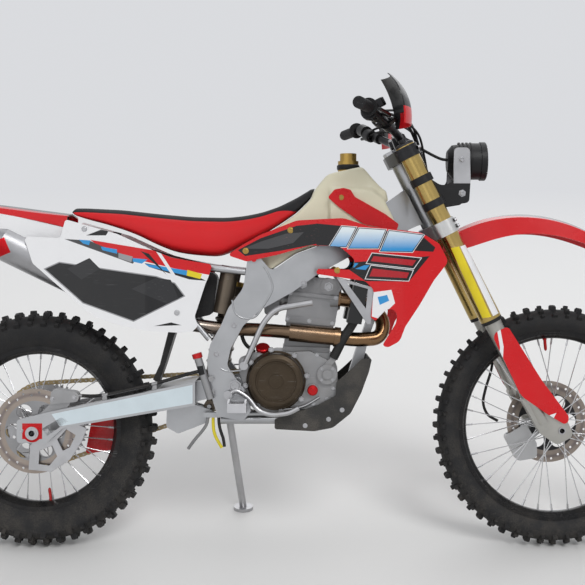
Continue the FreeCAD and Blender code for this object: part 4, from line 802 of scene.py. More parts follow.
BLACK_PLASTIC = Finish("black plastic", BLACK, 0.45, grain=1.5, depth=0.08, scuffs=0.25,
                       scuff_colour=(0.10, 0.10, 0.10), dust=0.15)
SKID = Finish("skid plate", (0.028, 0.027, 0.026), 0.5, grain=2.0, depth=0.1, scuffs=0.6,
              scuff_colour=(0.12, 0.12, 0.12), dust=0.3)
SHOCK = Finish("shock body", (0.13, 0.105, 0.08), 0.35, 0.8, surface=Surface.CAST, dust=0.1)
CALIPER = Finish("caliper", (0.30, 0.30, 0.30), 0.42, 0.9, surface=Surface.CAST, dust=0.2)
FORK_GOLD = Finish("gold fork tube", (0.47, 0.34, 0.12), 0.22, 1.0, surface=Surface.BRUSHED,
                   grain=0.8, tone=0.15, dust=0.04)
FORK_CAST = Finish("fork foot", (0.40, 0.39, 0.36), 0.36, 0.95, surface=Surface.CAST, dust=0.12)
CLAMP = Finish("dark clamp", (0.03, 0.03, 0.032), 0.34, 0.8, surface=Surface.CAST, dust=0.08)
SPROCKET = Finish("sprocket steel", (0.40, 0.40, 0.41), 0.32, 1.0, surface=Surface.BRUSHED,
                  grain=0.7, dust=0.12)
SPRING = Finish("spring coating", (0.10, 0.085, 0.07), 0.35, 0.7, dust=0.15)
LAMP_GLASS = Finish("lamp glass", (0.62, 0.64, 0.66), 0.10, 0.55, coat=1.0, depth=0.02, tone=0.08,
                    scuffs=0.05, dust=0.05)
RED_ANODISED = Finish("red anodised", ANODISED, 0.3, 0.7, surface=Surface.BRUSHED, dust=0.05)
VALVE_CAP = Finish("valve cap", (0.42, 0.01, 0.012), 0.35, 0.5, surface=Surface.BRUSHED)
GRIP = Finish("grip rubber", (0.012, 0.012, 0.013), 0.75, surface=Surface.RUBBER, depth=0.2)
LEVER = Finish("black lever", (0.02, 0.02, 0.02), 0.35, 0.6, surface=Surface.BRUSHED)
HOSE = Finish("black hose", (0.012, 0.012, 0.012), 0.5, dust=0.1)


def as_material(dressing: Material | Finish) -> Material:
    """A material as it is, or the one that a finish gives."""
    return dressing.material() if isinstance(dressing, Finish) else dressing


def placed(name: str, data: bpy.types.ID) -> bpy.types.Object:
    """A new object of the scene that shows some data.

    Args:
        name: the object's name.
        data: its mesh, curve, camera or lamp.
    """
    item = bpy.data.objects.new(name, data)
    bpy.context.scene.collection.objects.link(item)
    return item


def clean(mesh: bpy.types.Mesh, merge: bool, outwards: bool) -> None:
    """Joins a mesh's points that lie together and turns its faces outwards.

    Args:
        mesh: the mesh, changed in place.
        merge: joins the points.
        outwards: turns the faces.
    """
    shell = bmesh.new()
    shell.from_mesh(mesh)
    if merge:
        bmesh.ops.remove_doubles(shell, verts=shell.verts, dist=1e-6)
    if outwards:
        bmesh.ops.recalc_face_normals(shell, faces=shell.faces)
    shell.to_mesh(mesh)
    shell.free()
    mesh.update()


def make(name: str, shape: Shape, material: Material | Finish, body: str,
         slot: str | None = None, replaces: tuple = (), bevel: float = 0.0,
         smooth: bool = True, edge: float = 35.0, subdivide: int = 0, merge: bool = True,
         both: bool = False) -> bpy.types.Object:
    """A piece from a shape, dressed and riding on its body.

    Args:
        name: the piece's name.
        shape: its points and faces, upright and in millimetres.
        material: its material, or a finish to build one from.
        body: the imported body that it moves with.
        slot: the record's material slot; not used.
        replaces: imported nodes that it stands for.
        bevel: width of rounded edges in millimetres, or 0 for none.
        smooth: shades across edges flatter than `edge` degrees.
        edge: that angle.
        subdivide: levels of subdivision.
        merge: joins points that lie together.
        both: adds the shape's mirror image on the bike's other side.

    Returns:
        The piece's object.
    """
    if both:
        shape = shape.on_both_sides()
    mesh = bpy.data.meshes.new(name)
    mesh.from_pydata(lean(shape.points).tolist(), [], shape.faces)
    clean(mesh, merge, outwards=True)
    piece = placed(name, mesh)
    mesh.materials.append(as_material(material))
    if smooth:
        mesh.polygons.foreach_set("use_smooth", np.ones(len(mesh.polygons), bool))
        mesh.set_sharp_from_angle(angle=math.radians(edge))
    if bevel:
        rounding = piece.modifiers.new("rounding", "BEVEL")
        rounding.width = bevel * MM
        rounding.segments = 2
        rounding.limit_method = "ANGLE"
        rounding.harden_normals = smooth
    if subdivide:
        finer = piece.modifiers.new("finer", "SUBSURF")
        finer.levels = subdivide
        finer.render_levels = subdivide
    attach(piece, body)
    if replaces:
        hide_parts(*replaces)
    log.info("%s: %d faces on %s", name, len(mesh.polygons), body)
    return piece


def dress(material: Material | Finish, *nodes: str) -> None:
    """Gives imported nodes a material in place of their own.

    Args:
        material: the material, or a finish to build one from.
        nodes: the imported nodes' names.
    """
    for name in nodes:
        slots = frame["nodes"][name].data.materials
        slots.clear()
        slots.append(as_material(material))


@dataclass
class RoundedShell:
    """A moulded shell whose edges are rounded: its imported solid, gridded and evened out.

    The solid's copy is merged and rebuilt on an even grid, and then each point moves towards
    the middle of its neighbours some times over, which rounds edges over a few grid steps.
    """

    name: str
    node: str
    body: str
    slot: str
    finish: Finish
    grid: float = 5.0
    rounds: int = 10

    def build(self) -> None:
        """The rounded copy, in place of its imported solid."""
        mesh = frame["nodes"][self.node].data.copy()
        mesh.name = self.name
        clean(mesh, merge=True, outwards=False)
        mesh.materials.clear()
        mesh.materials.append(self.finish.material())
        piece = placed(self.name, mesh)
        even = piece.modifiers.new("even grid", "REMESH")
        even.mode = "VOXEL"
        even.voxel_size = self.grid * MM
        even.use_smooth_shade = True
        soft = piece.modifiers.new("rounded", "SMOOTH")
        soft.factor = 0.5
        soft.iterations = self.rounds
        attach(piece, self.body)
        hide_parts(self.node)
        log.info("%s: rounded on %s", self.name, self.body)


@dataclass
class Knob:
    """A row of tread knobs: where across the tread, how large, and its turn round the tyre."""

    across: float
    length: float
    width: float
    phase: float
    height: float


@dataclass
class Tyre:
    """A knobbed tyre: a ringed casing and rows of moulded knobs."""

    name: str
    node: str
    body: str
    axle: Array
    radius: float
    width: float
    drop: float
    rim_radius: float
    rim_width: float
    pitches: int
    knob: float
    rows: tuple
    sunk: float = 3.0

    def crown(self, across: Array) -> Array:
        """Radius to the knobs' tips: the crown falls as a circle through its edges does.

        Args:
            across: distances from the tyre's middle.
        """
        half = self.width / 2
        bend = (half ** 2 + self.drop ** 2) / (2 * self.drop)
        return self.radius - bend + np.sqrt(np.maximum(bend ** 2 - np.square(across), 0))

    def casing(self) -> Shape:
        """The casing: crown less the knobs' height, round side walls and beads.

        The side wall goes out from the bead as a half sine over its height, with a shallow
        step near the rim.
        """
        half = self.width / 2 - 5
        across = np.linspace(-half, half, 15)
        top = np.stack([across, self.crown(across) - self.knob], axis=1)
        bead = self.rim_width / 2 - 3
        low = self.rim_radius - 6
        share = np.linspace(0, 1, 12)[1:]
        swell = (bead * (1 - share) + half * share) + 7 * np.sin(math.pi * share)
        swell += 1.2 * (np.abs(share - 0.22) < 0.05)
        rise = low + (top[-1, 1] - low) * share
        wall = np.stack([swell, rise], axis=1)[:-1]
        inner = np.array([[bead, low], [bead - 9, low], [bead - 9, low + 24]])
        left = np.concatenate([wall[::-1], inner])
        right = left[::-1] * [-1, 1]
        profile = np.concatenate([top, left, right])
        return lathe(profile, self.axle, ALONG_Y, 120)

    def tread(self) -> Shape:
        """The knobs, stood square on the crown at each pitch."""
        shapes = []
        for row in self.rows:
            turns = 2 * math.pi * (np.arange(self.pitches) + row.phase) / self.pitches
            edge = self.crown(np.array([row.across - 0.5, row.across + 0.5]))
            slope = edge[1] - edge[0]
            radial = np.stack([np.cos(turns), np.zeros_like(turns), np.sin(turns)], axis=1)
            along = np.stack([-np.sin(turns), np.zeros_like(turns), np.cos(turns)], axis=1)
            up = unit(radial - slope * ALONG_Y)
            foot = float(self.crown(np.array([row.across]))[0]) - row.height - self.sunk
            places = self.axle + radial * foot + (row.across + slope * self.sunk) * ALONG_Y
            shapes.append(repeat(block(row.length, row.width, row.height + 2.5, 0.86, 1.2),
                                 frames_from(up, along), places))
        return Shape.joined(shapes)

    def build(self) -> None:
        """Casing and tread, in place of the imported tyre."""
        make(self.name, self.casing(), RUBBER, self.body, "tyre", (self.node,), edge=50)
        make(f"{self.name}_knobs", self.tread(), RUBBER, self.body, "tyre", smooth=False)


def mirrored_rows(*rows: Knob) -> tuple:
    """Knob rows on both sides of the tread.

    Args:
        rows: the rows on the middle or the left.
    """
    return tuple(row for knob in rows
                 for row in ((knob, replace(knob, across=-knob.across)) if knob.across
                             else (knob,)))


@dataclass
class Wheel:
    """A wire wheel: drop-centre rim, laced spokes with nipples, and a flanged hub."""

    name: str
    body: str
    axle: Array
    rim_radius: float
    rim_width: float
    hub_right: float
    hub_left: float
    bore: float
    flange: float
    valve: float
    spokes: int = 36
    hole_reach: float = 27.0
    stagger: float = 3.6
    lead: float = 52.0
    seat: float = 25.0
    dish: float = 5.0

    def rim(self) -> Shape:
        """The rim's section turned round the axle."""
        half = self.rim_width / 2
        r = self.rim_radius
        profile = [(-half, r), (-half + 1.5, r + 1), (-half + 3.5, r - 0.5), (-half + 4, r - 10),
                   (-14, r - 11), (-10, r - 19), (10, r - 19), (14, r - 11), (half - 4, r - 10),
                   (half - 3.5, r - 0.5), (half - 1.5, r + 1), (half, r), (half - 0.5, r - 14),
                   (half - 6, r - 17), (15, r - 22), (9, r - 26), (-9, r - 26), (-15, r - 22),
                   (6 - half, r - 17), (0.5 - half, r - 14)]
        return lathe(profile, self.axle, ALONG_Y, 144)

    def laces(self) -> tuple:
        """Ends of every spoke, from the hub's flanges out to the rim.

        Spoke k leaves the flange a fixed angle ahead of or behind its place at the rim, two
        ahead and two behind in turn, and changes side each time.
        """
        index = np.arange(self.spokes)
        side = np.where(index % 2, 1.0, -1.0)
        trail = np.where(index % 4 < 2, 1.0, -1.0)
        rim = 2 * math.pi * index / self.spokes
        hub = rim + math.radians(self.lead) * trail
        ends = []
        for turn, reach, offset in ((hub, self.hole_reach, self.flange + self.stagger * trail),
                                    (rim, self.rim_radius - self.seat, self.dish)):
            ends.append(self.axle + np.stack([reach * np.cos(turn), side * offset,
                                              reach * np.sin(turn)], axis=1))
        return tuple(ends)

    def wires(self, near: float, far: float, radius: float, sides: int) -> Shape:
        """Round wires over a part of each spoke, as one shape.

        Args:
            near: the share of the spoke's length where the wire starts.
            far: the share where it ends.
            radius: of the wire.
            sides: corners of its section.
        """
        start, end = self.laces()
        low = start + (end - start) * near
        high = start + (end - start) * far
        frames = frames_from(unit(high - low), ALONG_Y)
        circle = ring(sides, radius)
        rod = Shape(np.concatenate([np.hstack([circle, np.zeros((sides, 1))]),
                                    np.hstack([circle, np.ones((sides, 1))])]), capped(2, sides))
        frames[:, :, 2] *= np.linalg.norm(high - low, axis=1)[:, None]
        return repeat(rod, frames, low)

    def hub(self) -> Shape:
        """The hub: barrel waisted between two flanges, with bearing lands at its ends."""
        f = self.flange
        b = self.bore
        barrel = b + 11
        share = np.linspace(-1, 1, 9)
        waist = np.stack([share * (f - 7), barrel - 2 + 6 * np.abs(share) ** 2.5], axis=1)
        right = [(-f - 3, 20), (-f - 3.4, 31), (-f + 3, 32), (-f + 4, 30)]
        left = [(f - 4, 30), (f - 3, 32), (f + 3.4, 31), (f + 3, 20)]
        profile = ([(self.hub_left, b), (self.hub_right, b), (self.hub_right, barrel)] + right
                   + waist.tolist() + left + [(self.hub_left, barrel)])
        return lathe(profile, self.axle, ALONG_Y, 64)

    def build(self) -> None:
        """Rim, spokes, nipples, hub and the valve's cap."""
        node = f"{self.name}_wheel"
        make(f"{self.name}_rim", self.rim(), RIM, self.body, "wheel", (node,))
        make(f"{self.name}_spokes", self.wires(0.0, 1.0, 1.5, 6), SPOKE, self.body, "wheel")
        make(f"{self.name}_nipples", self.wires(0.915, 1.0, 3.0, 6), SPOKE, self.body, "wheel")
        make(f"{self.name}_hub", self.hub(), HUB, self.body, "wheel")
        turn = math.radians(self.valve)
        outward = np.array([math.cos(turn), 0.0, math.sin(turn)])
        foot = self.axle + outward * (self.rim_radius - 26)
        cap = tube(foot - outward * np.array([[0], [4], [5], [30], [34], [36]]),
                   (6, 6, 4.6, 4.6, 3.4, 1.5), 12)
        make(f"{self.name}_valve_cap", cap, VALVE_CAP, self.body, "wheel")


@dataclass
class Chain:
    """The drive chain: outer and inner plates and rollers along its loop."""

    y: float = 74.0
    pitch: float = 15.875
    rear_teeth: int = 48
    front_teeth: int = 13
    front: tuple = (-100.0, 466.0)
    outer: float = 7.6
    inner: float = 5.4
    thick: float = 1.8
    plate_end: float = 6.5

    def loop(self, places: Array) -> tuple:
        """Points at distances along the loop.

        The loop is a straight upper run, the arc round the front sprocket, a straight lower
        run and the arc round the rear sprocket.

        Args:
            places: shares of the loop's length, from 0 to 1.

        Returns:
            Points on the loop, (n, 3), and the loop's whole length.
        """
        big = self.pitch / (2 * math.sin(math.pi / self.rear_teeth))
        small = self.pitch / (2 * math.sin(math.pi / self.front_teeth))
        large = REAR_AXLE[[0, 2]]
        little = np.array(self.front)
        gap = little - large
        length = float(np.linalg.norm(gap))
        base = math.atan2(gap[1], gap[0])
        spread = math.acos((big - small) / length)
        run = length * math.sin(spread)
        arcs = (small * 2 * spread, big * 2 * (math.pi - spread))
        total = 2 * run + sum(arcs)
        s = np.mod(places * total, total)
        ends = np.cumsum([run, arcs[0], run, arcs[1]])
        upper, lower = base + spread, base - spread
        rise = np.array([math.cos(upper), math.sin(upper)])
        fall = np.array([math.cos(lower), math.sin(lower)])
        part = np.searchsorted(ends, s, side="right").clip(0, 3)
        t = s - np.concatenate([[0], ends])[part]
        front_turn = upper - t / small
        rear_turn = lower - t / big
        straight_up = (large + rise * big) + t[:, None] * np.array([rise[1], -rise[0]])
        straight_down = (little + fall * small) + t[:, None] * np.array([fall[1], -fall[0]])
        front_arc = little + small * np.stack([np.cos(front_turn), np.sin(front_turn)], axis=1)
        rear_arc = large + big * np.stack([np.cos(rear_turn), np.sin(rear_turn)], axis=1)
        options = np.stack([straight_up, front_arc, straight_down, rear_arc])
        flat = options[part, np.arange(len(s))]
        return np.stack([flat[:, 0], np.full(len(s), self.y), flat[:, 1]], axis=1), total

    def plate(self, y: float) -> Shape:
        """One link plate: two round ends with a waist between them.

        Args:
            y: the plate's distance from the chain's middle.
        """
        share = np.linspace(-1, 1, 9)
        x = share * (self.pitch / 2 + self.plate_end)
        reach = np.clip((np.abs(x) - self.pitch / 2) / self.plate_end, 0, 1)
        tall = 6.6 * np.sqrt(1 - reach ** 2) - 1.4 * np.cos(share * math.pi / 1.3).clip(0)
        outline = np.concatenate([np.stack([x, tall], axis=1),
                                  np.stack([x, -tall], axis=1)[-2:0:-1]])
        near = np.insert(outline, 1, y - self.thick / 2, axis=1)
        far = np.insert(outline, 1, y + self.thick / 2, axis=1)
        return Shape(np.concatenate([near, far]), capped(2, len(outline)))

    def plates(self, y: float) -> Shape:
        """A pair of link plates on both sides of the chain's middle."""
        return Shape.joined([self.plate(side * y) for side in (-1, 1)])

    def links(self) -> int:
        """Number of links: the even number whose pitch comes nearest."""
        _, total = self.loop(np.zeros(1))
        return int(round(total / self.pitch / 2)) * 2

    def build(self) -> None:
        """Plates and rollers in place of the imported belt."""
        count = self.links()
        share = np.arange(count) / count
        pins, _ = self.loop(share)
        ahead, _ = self.loop(share + 1 / count)
        middle = (pins + ahead) / 2
        along = unit(ahead - pins)
        across = np.broadcast_to(ALONG_Y, along.shape)
        frames = np.stack([along, across, np.cross(along, across)], axis=-1)
        odd = np.arange(count) % 2 == 1
        make("chain_outer_links", repeat(self.plates(self.outer), frames[odd], middle[odd]),
             CHAIN, "chassis", "chain", ("chain",), edge=40)
        make("chain_inner_links", repeat(self.plates(self.inner), frames[~odd], middle[~odd]),
             CHAIN, "chassis", "chain", edge=40)
        roller = lathe([(-8.8, 0.5), (-8.8, 2.4), (-4.4, 2.4), (-4.4, 5.1), (4.4, 5.1),
                        (4.4, 2.4), (8.8, 2.4), (8.8, 0.5)], np.zeros(3), ALONG_Y, 10)
        make("chain_rollers", repeat(roller, frames, pins), STEEL, "chassis", "chain")


@dataclass
class Seat:
    """The seat: a crowned pad with red sides, a black top and the seam between them."""

    rear: float = -645.0
    nose: float = 52.0
    top: tuple = ((-645, 966), (-638, 973), (-600, 973), (-500, 968), (-400, 957), (-300, 948),
                  (-200, 946), (-150, 951), (-100, 961), (-50, 978), (0, 1003), (35, 1024),
                  (52, 1035))
    low: tuple = ((-645, 955), (-600, 940), (-550, 927), (-500, 911), (-450, 892), (-400, 866),
                  (-350, 846), (-300, 838), (-222, 832), (-185, 846), (-150, 866), (-100, 894),
                  (-50, 925), (0, 960), (40, 1000), (52, 1024))
    half: tuple = ((-645, 66), (-600, 78), (-540, 85), (-400, 93), (-260, 89), (-120, 73), (50, 55))
    stations: int = 120
    around: int = 64

    def skin(self) -> tuple:
        """The pad's points and, for each, its height over the foot of the black top.

        Around the pad the half width follows a power of the cosine of the turn and the height
        a power of its sine, so the sides stand nearly upright and the top is crowned. Both
        ends round off over their last few millimetres, and a shallow groove follows the seam.
        """
        turn = np.linspace(0, math.pi, self.stations)
        x = self.rear + (self.nose - self.rear) * (0.5 - 0.5 * np.cos(turn))
        high = np.interp(x, *np.transpose(self.top))
        base = np.interp(x, *np.transpose(self.low))
        kernel = np.hanning(9)[1:-1] / np.hanning(9)[1:-1].sum()
        high, base = (np.convolve(np.pad(line, 3, mode="edge"), kernel, "valid")
                      for line in (high, base))
        wide = np.interp(x, *np.transpose(self.half))
        end = np.minimum((x - self.rear) / 14, (self.nose - x) / 10)
        end = np.sqrt(np.clip(end, 0.02, 1))
        turn = np.linspace(0, math.pi, self.around)
        across = np.sign(np.cos(turn)) * np.abs(np.cos(turn)) ** 0.62
        rise = np.sin(turn) ** 0.5
        tall = (high - base) * end
        middle = (high + base) / 2
        z = (middle - tall / 2)[:, None] + tall[:, None] * rise
        narrow = 1 - 0.16 * rise ** 2
        depth = high[:, None] - z
        band = self.band(x)[:, None]
        groove = 1 - 0.022 * np.exp(-((depth - band) / 2.2) ** 2)
        y = (wide * (0.35 + 0.65 * end))[:, None] * across * narrow * groove
        points = np.stack([np.broadcast_to(x[:, None], y.shape), y, z], axis=-1)
        return points.reshape(-1, 3), (band - depth).reshape(-1)

    @staticmethod
    def band(x: Array) -> Array:
        """How far the black top reaches down: a narrow band that widens up the nose."""
        return 13.0 + 62.0 * np.clip((x + 60) / 100, 0, 1) ** 1.5

    def build(self) -> None:
        """The pad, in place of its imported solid."""
        points, above = self.skin()
        paint = SEAT.build()
        cover = paint.tree.nodes.new("ShaderNodeAttribute")
        cover.attribute_name = "black_top"
        paint.cover(paint.above(cover.outputs["Fac"], 0.0, 1.2), BLACK, rough=0.7)
        pad = Shape(points, capped(self.stations, self.around))
        piece = make("seat_pad", pad, paint.done(), "chassis", "seat", ("seat",), edge=60,
                     merge=False, subdivide=1)
        layer = piece.data.attributes.new("black_top", "FLOAT", "POINT")
        layer.data.foreach_set("value", above)


SHROUD_BLACK = (
    [(-165, 852), (-100, 886), (0, 920), (60, 926), (60, 866), (-40, 851), (-140, 832)],
    [(55, 927), (126, 919), (331, 898), (353, 886), (384, 859), (378, 847), (120, 862), (55, 866)],
    [(384, 859), (378, 847), (310, 765), (191, 766), (120, 815), (83, 812), (125, 866), (370, 866)],
    [(60, 801), (84, 812), (205, 812), (195, 799)])
SHROUD_SHADES = (
    (GREY, [(-150, 856), (-100, 876), (-30, 898), (20, 902), (-10, 872), (-80, 856)]),
    (GREY, [(70, 805), (110, 836), (142, 846), (96, 806)]))
SHROUD_BARS = ([(126, 917), (163, 914), (137, 862), (92, 862)],
               [(174, 912), (245, 907), (225, 858), (145, 858)],
               [(256, 905), (350, 893), (319, 848), (233, 850)])
SHROUD_TABS = ([(208, 845), (347, 831), (324, 799), (191, 814)],
               [(205, 811), (324, 797), (310, 765), (188, 771)])
SHROUD_DASHES = ([(120, 807), (145, 818), (171, 815), (160, 804)],
                 [(162, 800), (188, 810), (202, 810), (191, 797)])
PANEL_BLACK = [(-701, 799), (-632, 830), (-575, 845), (-392, 777), (-351, 771), (-316, 724),
               (-455, 655), (-595, 706)]
PANEL_STRIPES_AND_VENT_SHADE = (
    (GREY, [(-648, 883), (-579, 879), (-448, 826), (-457, 814)]),
    (RED, [(-579, 883), (-457, 862), (-379, 848), (-223, 822), (-237, 781), (-343, 801),
           (-448, 826), (-562, 871)]),
    (BLUE, [(-607, 881), (-575, 879), (-579, 866), (-595, 870)]),
    (BLUE, [(-546, 862), (-501, 854), (-501, 842), (-542, 852)]),
    (TRIM_GREY, [(-497, 844), (-457, 834), (-461, 818), (-497, 830)]),
    (BLUE, [(-457, 830), (-416, 826), (-432, 814), (-457, 820)]),
    (BLACK, [(-424, 816), (-303, 792), (-254, 766), (-300, 770), (-412, 805)]),
    (BLUE, [(-424, 814), (-306, 795), (-308, 781), (-412, 805)]),
    (YELLOW, [(-306, 797), (-265, 785), (-270, 771), (-308, 781)]),
    (WHITE, [(-398, 857), (-386, 854), (-337, 779), (-346, 777)]),
    (BLACK, [(-436, 850), (-412, 842), (-363, 783)]),
    # The last two black fields are painted shade where the panel's two vents open.
    (BLACK, [(-587, 893), (-546, 909), (-524, 905), (-532, 893)]),
    (BLACK, [(-398, 640), (-351, 650), (-322, 642)]))


def shroud_paint() -> Material:
    """Red plastic with a black upper field, three slanted bars and two framed tabs."""
    paint = replace(RED_PLASTIC, name="shroud plastic").build()
    paint.field(BLACK, *SHROUD_BLACK)
    for colour, outline in SHROUD_SHADES:
        paint.field(colour, outline)
    paint.field(BLUE, *SHROUD_DASHES)
    fade = paint.calc("MULTIPLY_ADD", paint.z, 1 / 50, -855 / 50, clamp=True)
    sky = paint.blend(fade, BLUE, (0.72, 0.80, 0.84))
    for outline in SHROUD_BARS:
        paint.colour = paint.blend(paint.inside(grown(outline, 3.5)), paint.colour, WHITE)
        paint.colour = paint.blend(paint.inside(grown(outline, 2.0)), paint.colour, BLACK)
        paint.colour = paint.blend(paint.inside(outline), paint.colour, sky)
    for outline in SHROUD_TABS:
        paint.field(WHITE, outline).field(BLACK, grown(outline, -1.8))
        paint.field((0.42, 0.012, 0.02), grown(outline, -9.0))
    paint.field(WHITE, [(212, 735), (262, 742), (272, 705), (228, 662), (208, 668)])
    paint.field(BLUE, [(224, 722), (250, 728), (256, 712), (230, 700)])
    return paint.done()


def grown(outline: list, by: float) -> list:
    """A convex outline whose edges all move outwards by the same distance.

    A corner moves along the line that halves its angle, by the distance over the sine of half
    the angle.

    Args:
        outline: (x, z) corners in order.
        by: how far out, or in where it is negative, in millimetres.
    """
    corners = np.asarray(outline, float)
    way = corners - corners.mean(axis=0)
    ahead = unit(np.roll(corners, -1, axis=0) - corners)
    behind = unit(np.roll(corners, 1, axis=0) - corners)
    split = -unit(ahead + behind)
    split *= np.sign((split * way).sum(axis=1))[:, None]
    half = np.sin(np.arccos(np.clip((ahead * behind).sum(axis=1), -1, 1)) / 2)
    return (corners + split * (by / half)[:, None]).tolist()


def panel_paint() -> Material:
    """White plastic with a blank black field and its painted highlight, a striped upper edge and
    black painted shade in the two vent openings.
    """
    paint = replace(WHITE_PLASTIC, name="side panel plastic", scuffs=0.12, dust=0.04).build()
    paint.field(TRIM_GREY, grown(PANEL_BLACK, 3.0)).field(BLACK, PANEL_BLACK)
    # Two slightly lighter patches along the black field's upper edges are a painted highlight.
    paint.field((0.022, 0.022, 0.024),
                [(-461, 744), (-392, 775), (-352, 769), (-330, 716), (-363, 702)],
                [(-640, 800), (-578, 830), (-548, 800), (-600, 770)])
    for colour, outline in PANEL_STRIPES_AND_VENT_SHADE:
        paint.field(colour, outline)
    return paint.done()


def fork_paint() -> Material:
    """Gold tubes with a yellow and a white strip, a black seal and dark caps."""
    paint = FORK_GOLD.build()
    up = paint.up_fork()
    outside = paint.above(paint.off_middle(), 108)
    for colour, outline in ((YELLOW, [(430, 858), (453, 862), (542, 666), (519, 662)]),
                            (WHITE, [(456, 862), (474, 868), (564, 676), (547, 668)])):
        paint.cover(paint.both(paint.inside(outline), outside), colour, 0.0, 0.35)
    paint.cover(paint.between(up, 354, 366), BLACK, 0.0, 0.6)
    paint.cover(paint.above(up, 909), (0.05, 0.05, 0.055), 0.8, 0.3)
    return paint.done()


def clamp_paint() -> Material:
    """A silver lower clamp and a dark upper one."""
    paint = replace(CLAMP, name="two-tone clamp").build()
    below = paint.inverse(paint.above(paint.up_fork(), 800))
    paint.cover(below, (0.56, 0.56, 0.55), 1.0, 0.36)
    return paint.done()


def guard_paint() -> Material:
    """Red fork guards with a white edge behind and a white foot."""
    paint = replace(RED_PLASTIC, name="fork guard plastic", scuffs=0.3, dust=0.06).build()
    paint.field(WHITE, [(552, 668), (561, 670), (577, 582), (567, 580)],
                [(567, 583), (577, 583), (574, 534), (564, 534)],
                [(564, 536), (574, 536), (652, 382), (640, 376)],
                [(672, 346), (700, 352), (724, 398), (706, 392)])
    return paint.done()


def fender_paint() -> Material:
    """Red fender with a charcoal crown that starts in a point, edged with a blue line."""
    paint = replace(FENDER_PLASTIC, name="front fender plastic").build()
    reach = paint.calc("MINIMUM", paint.calc("MULTIPLY_ADD", paint.x, 0.42, -0.42 * 560), 40.0)
    within = paint.calc("SUBTRACT", reach, paint.off_middle())
    paint.cover(paint.above(within, 0.0), GREY)
    paint.cover(paint.between(within, -4.5, -1.5), (0.03, 0.2, 0.5))
    return paint.done()


def tail_paint() -> Material:
    """Red rear fender with a charcoal middle."""
    paint = replace(FENDER_PLASTIC, name="rear fender plastic").build()
    reach = paint.calc("MULTIPLY_ADD", paint.x, 0.06, 96.0)
    paint.cover(paint.above(paint.calc("SUBTRACT", reach, paint.off_middle()), 0.0), GREY)
    return paint.done()


def swingarm_paint() -> Material:
    """Satin alloy with a pale film along each leg's outside and red axle blocks."""
    paint = replace(FRAME, name="swingarm alloy", colour=(0.42, 0.425, 0.435), tone=0.1).build()
    film = paint.inside([(-688, 392), (-292, 474), (-292, 422), (-664, 358)])
    outside = paint.above(paint.off_middle(), 110)
    paint.cover(paint.both(film, outside), (0.60, 0.68, 0.72), 0.1, 0.4)
    end = paint.inside([(-770, 322), (-714, 322), (-714, 366), (-770, 366)])
    paint.cover(paint.both(end, outside), ANODISED, 0.6, 0.35)
    return paint.done()


def handguard_paint() -> Material:
    """Black shields with a red lower part."""
    paint = Finish("hand guard plastic", BLACK, 0.4, coat=0.2, depth=0.05, scuffs=0.2,
                   scuff_colour=(0.1, 0.1, 0.1), dust=0.05).build()
    lower = paint.inverse(paint.above(paint.z, 1222))
    shell = paint.above(paint.off_middle(), 226)
    paint.cover(paint.both(lower, shell), RED, 0.0, 0.3)
    return paint.done()


def pipe_paint() -> Material:
    """A header heated to brown and gold near the head, greyer towards the silencer."""
    paint = PIPE.build()
    hot = paint.calc("MULTIPLY_ADD", paint.x, 1 / 260, -0.05, clamp=True)
    paint.colour = paint.blend(hot, paint.colour, (0.23, 0.13, 0.06))
    cool = paint.calc("MULTIPLY_ADD", paint.x, -1 / 220, -0.75, clamp=True)
    paint.colour = paint.blend(cool, paint.colour, (0.34, 0.325, 0.31))
    return paint.done()


def rear_brake_paint() -> Material:
    """Cast caliper and cylinder, a black hose in bright guides, and a red cap."""
    paint = Finish("rear brake castings", (0.32, 0.32, 0.325), 0.42, 0.85, surface=Surface.CAST,
                   dust=0.15).build()
    hose = paint.inside([(-606, 428), (-300, 492), (-256, 506), (-262, 530), (-300, 524),
                         (-606, 470)])
    away = paint.both(paint.guide_gap(-400.0), paint.guide_gap(-540.0))
    paint.cover(paint.both(hose, away), BLACK, 0.0, 0.45)
    paint.cover(paint.inside([(-300, 546), (-262, 552), (-262, 580), (-300, 580)]), ANODISED,
                0.6, 0.35)
    return paint.done()


def disc_paint(name: str, axle: Array, carrier: Colour) -> Material:
    """A ground friction ring round a carrier of another colour, blued near the holes.

    Args:
        name: the material's name.
        axle: middle of the disc.
        carrier: the carrier's colour.
    """
    paint = Finish(name, (0.30, 0.255, 0.22), 0.3, 1.0, surface=Surface.BRUSHED, grain=0.7,
                   dust=0.1).build()
    reach = paint.from_axle(axle)
    paint.cover(paint.between(reach, 99, 108, 6), (0.20, 0.17, 0.16))
    paint.cover(paint.inverse(paint.above(reach, 86)), carrier, 0.9, 0.36)
    return paint.done()


def bracket_paint() -> Material:
    """Black lamp cheeks whose upper arms are bare alloy."""
    paint = Finish("lamp bracket", BLACK, 0.4, surface=Surface.CAST, scuffs=0.25,
                   scuff_colour=(0.1, 0.1, 0.1), dust=0.08).build()
    bare = paint.inside([(446, 1150), (498, 1150), (498, 1042), (446, 1042)])
    paint.cover(bare, (0.42, 0.42, 0.43), 1.0, 0.35)
    return paint.done()


def silencer_paint() -> Material:
    """A grey can with a blank red sticker."""
    paint = SILENCER.build()
    paint.field((0.5, 0.015, 0.02), [(-860, 872), (-818, 888), (-800, 846), (-842, 830)])
    return paint.done()


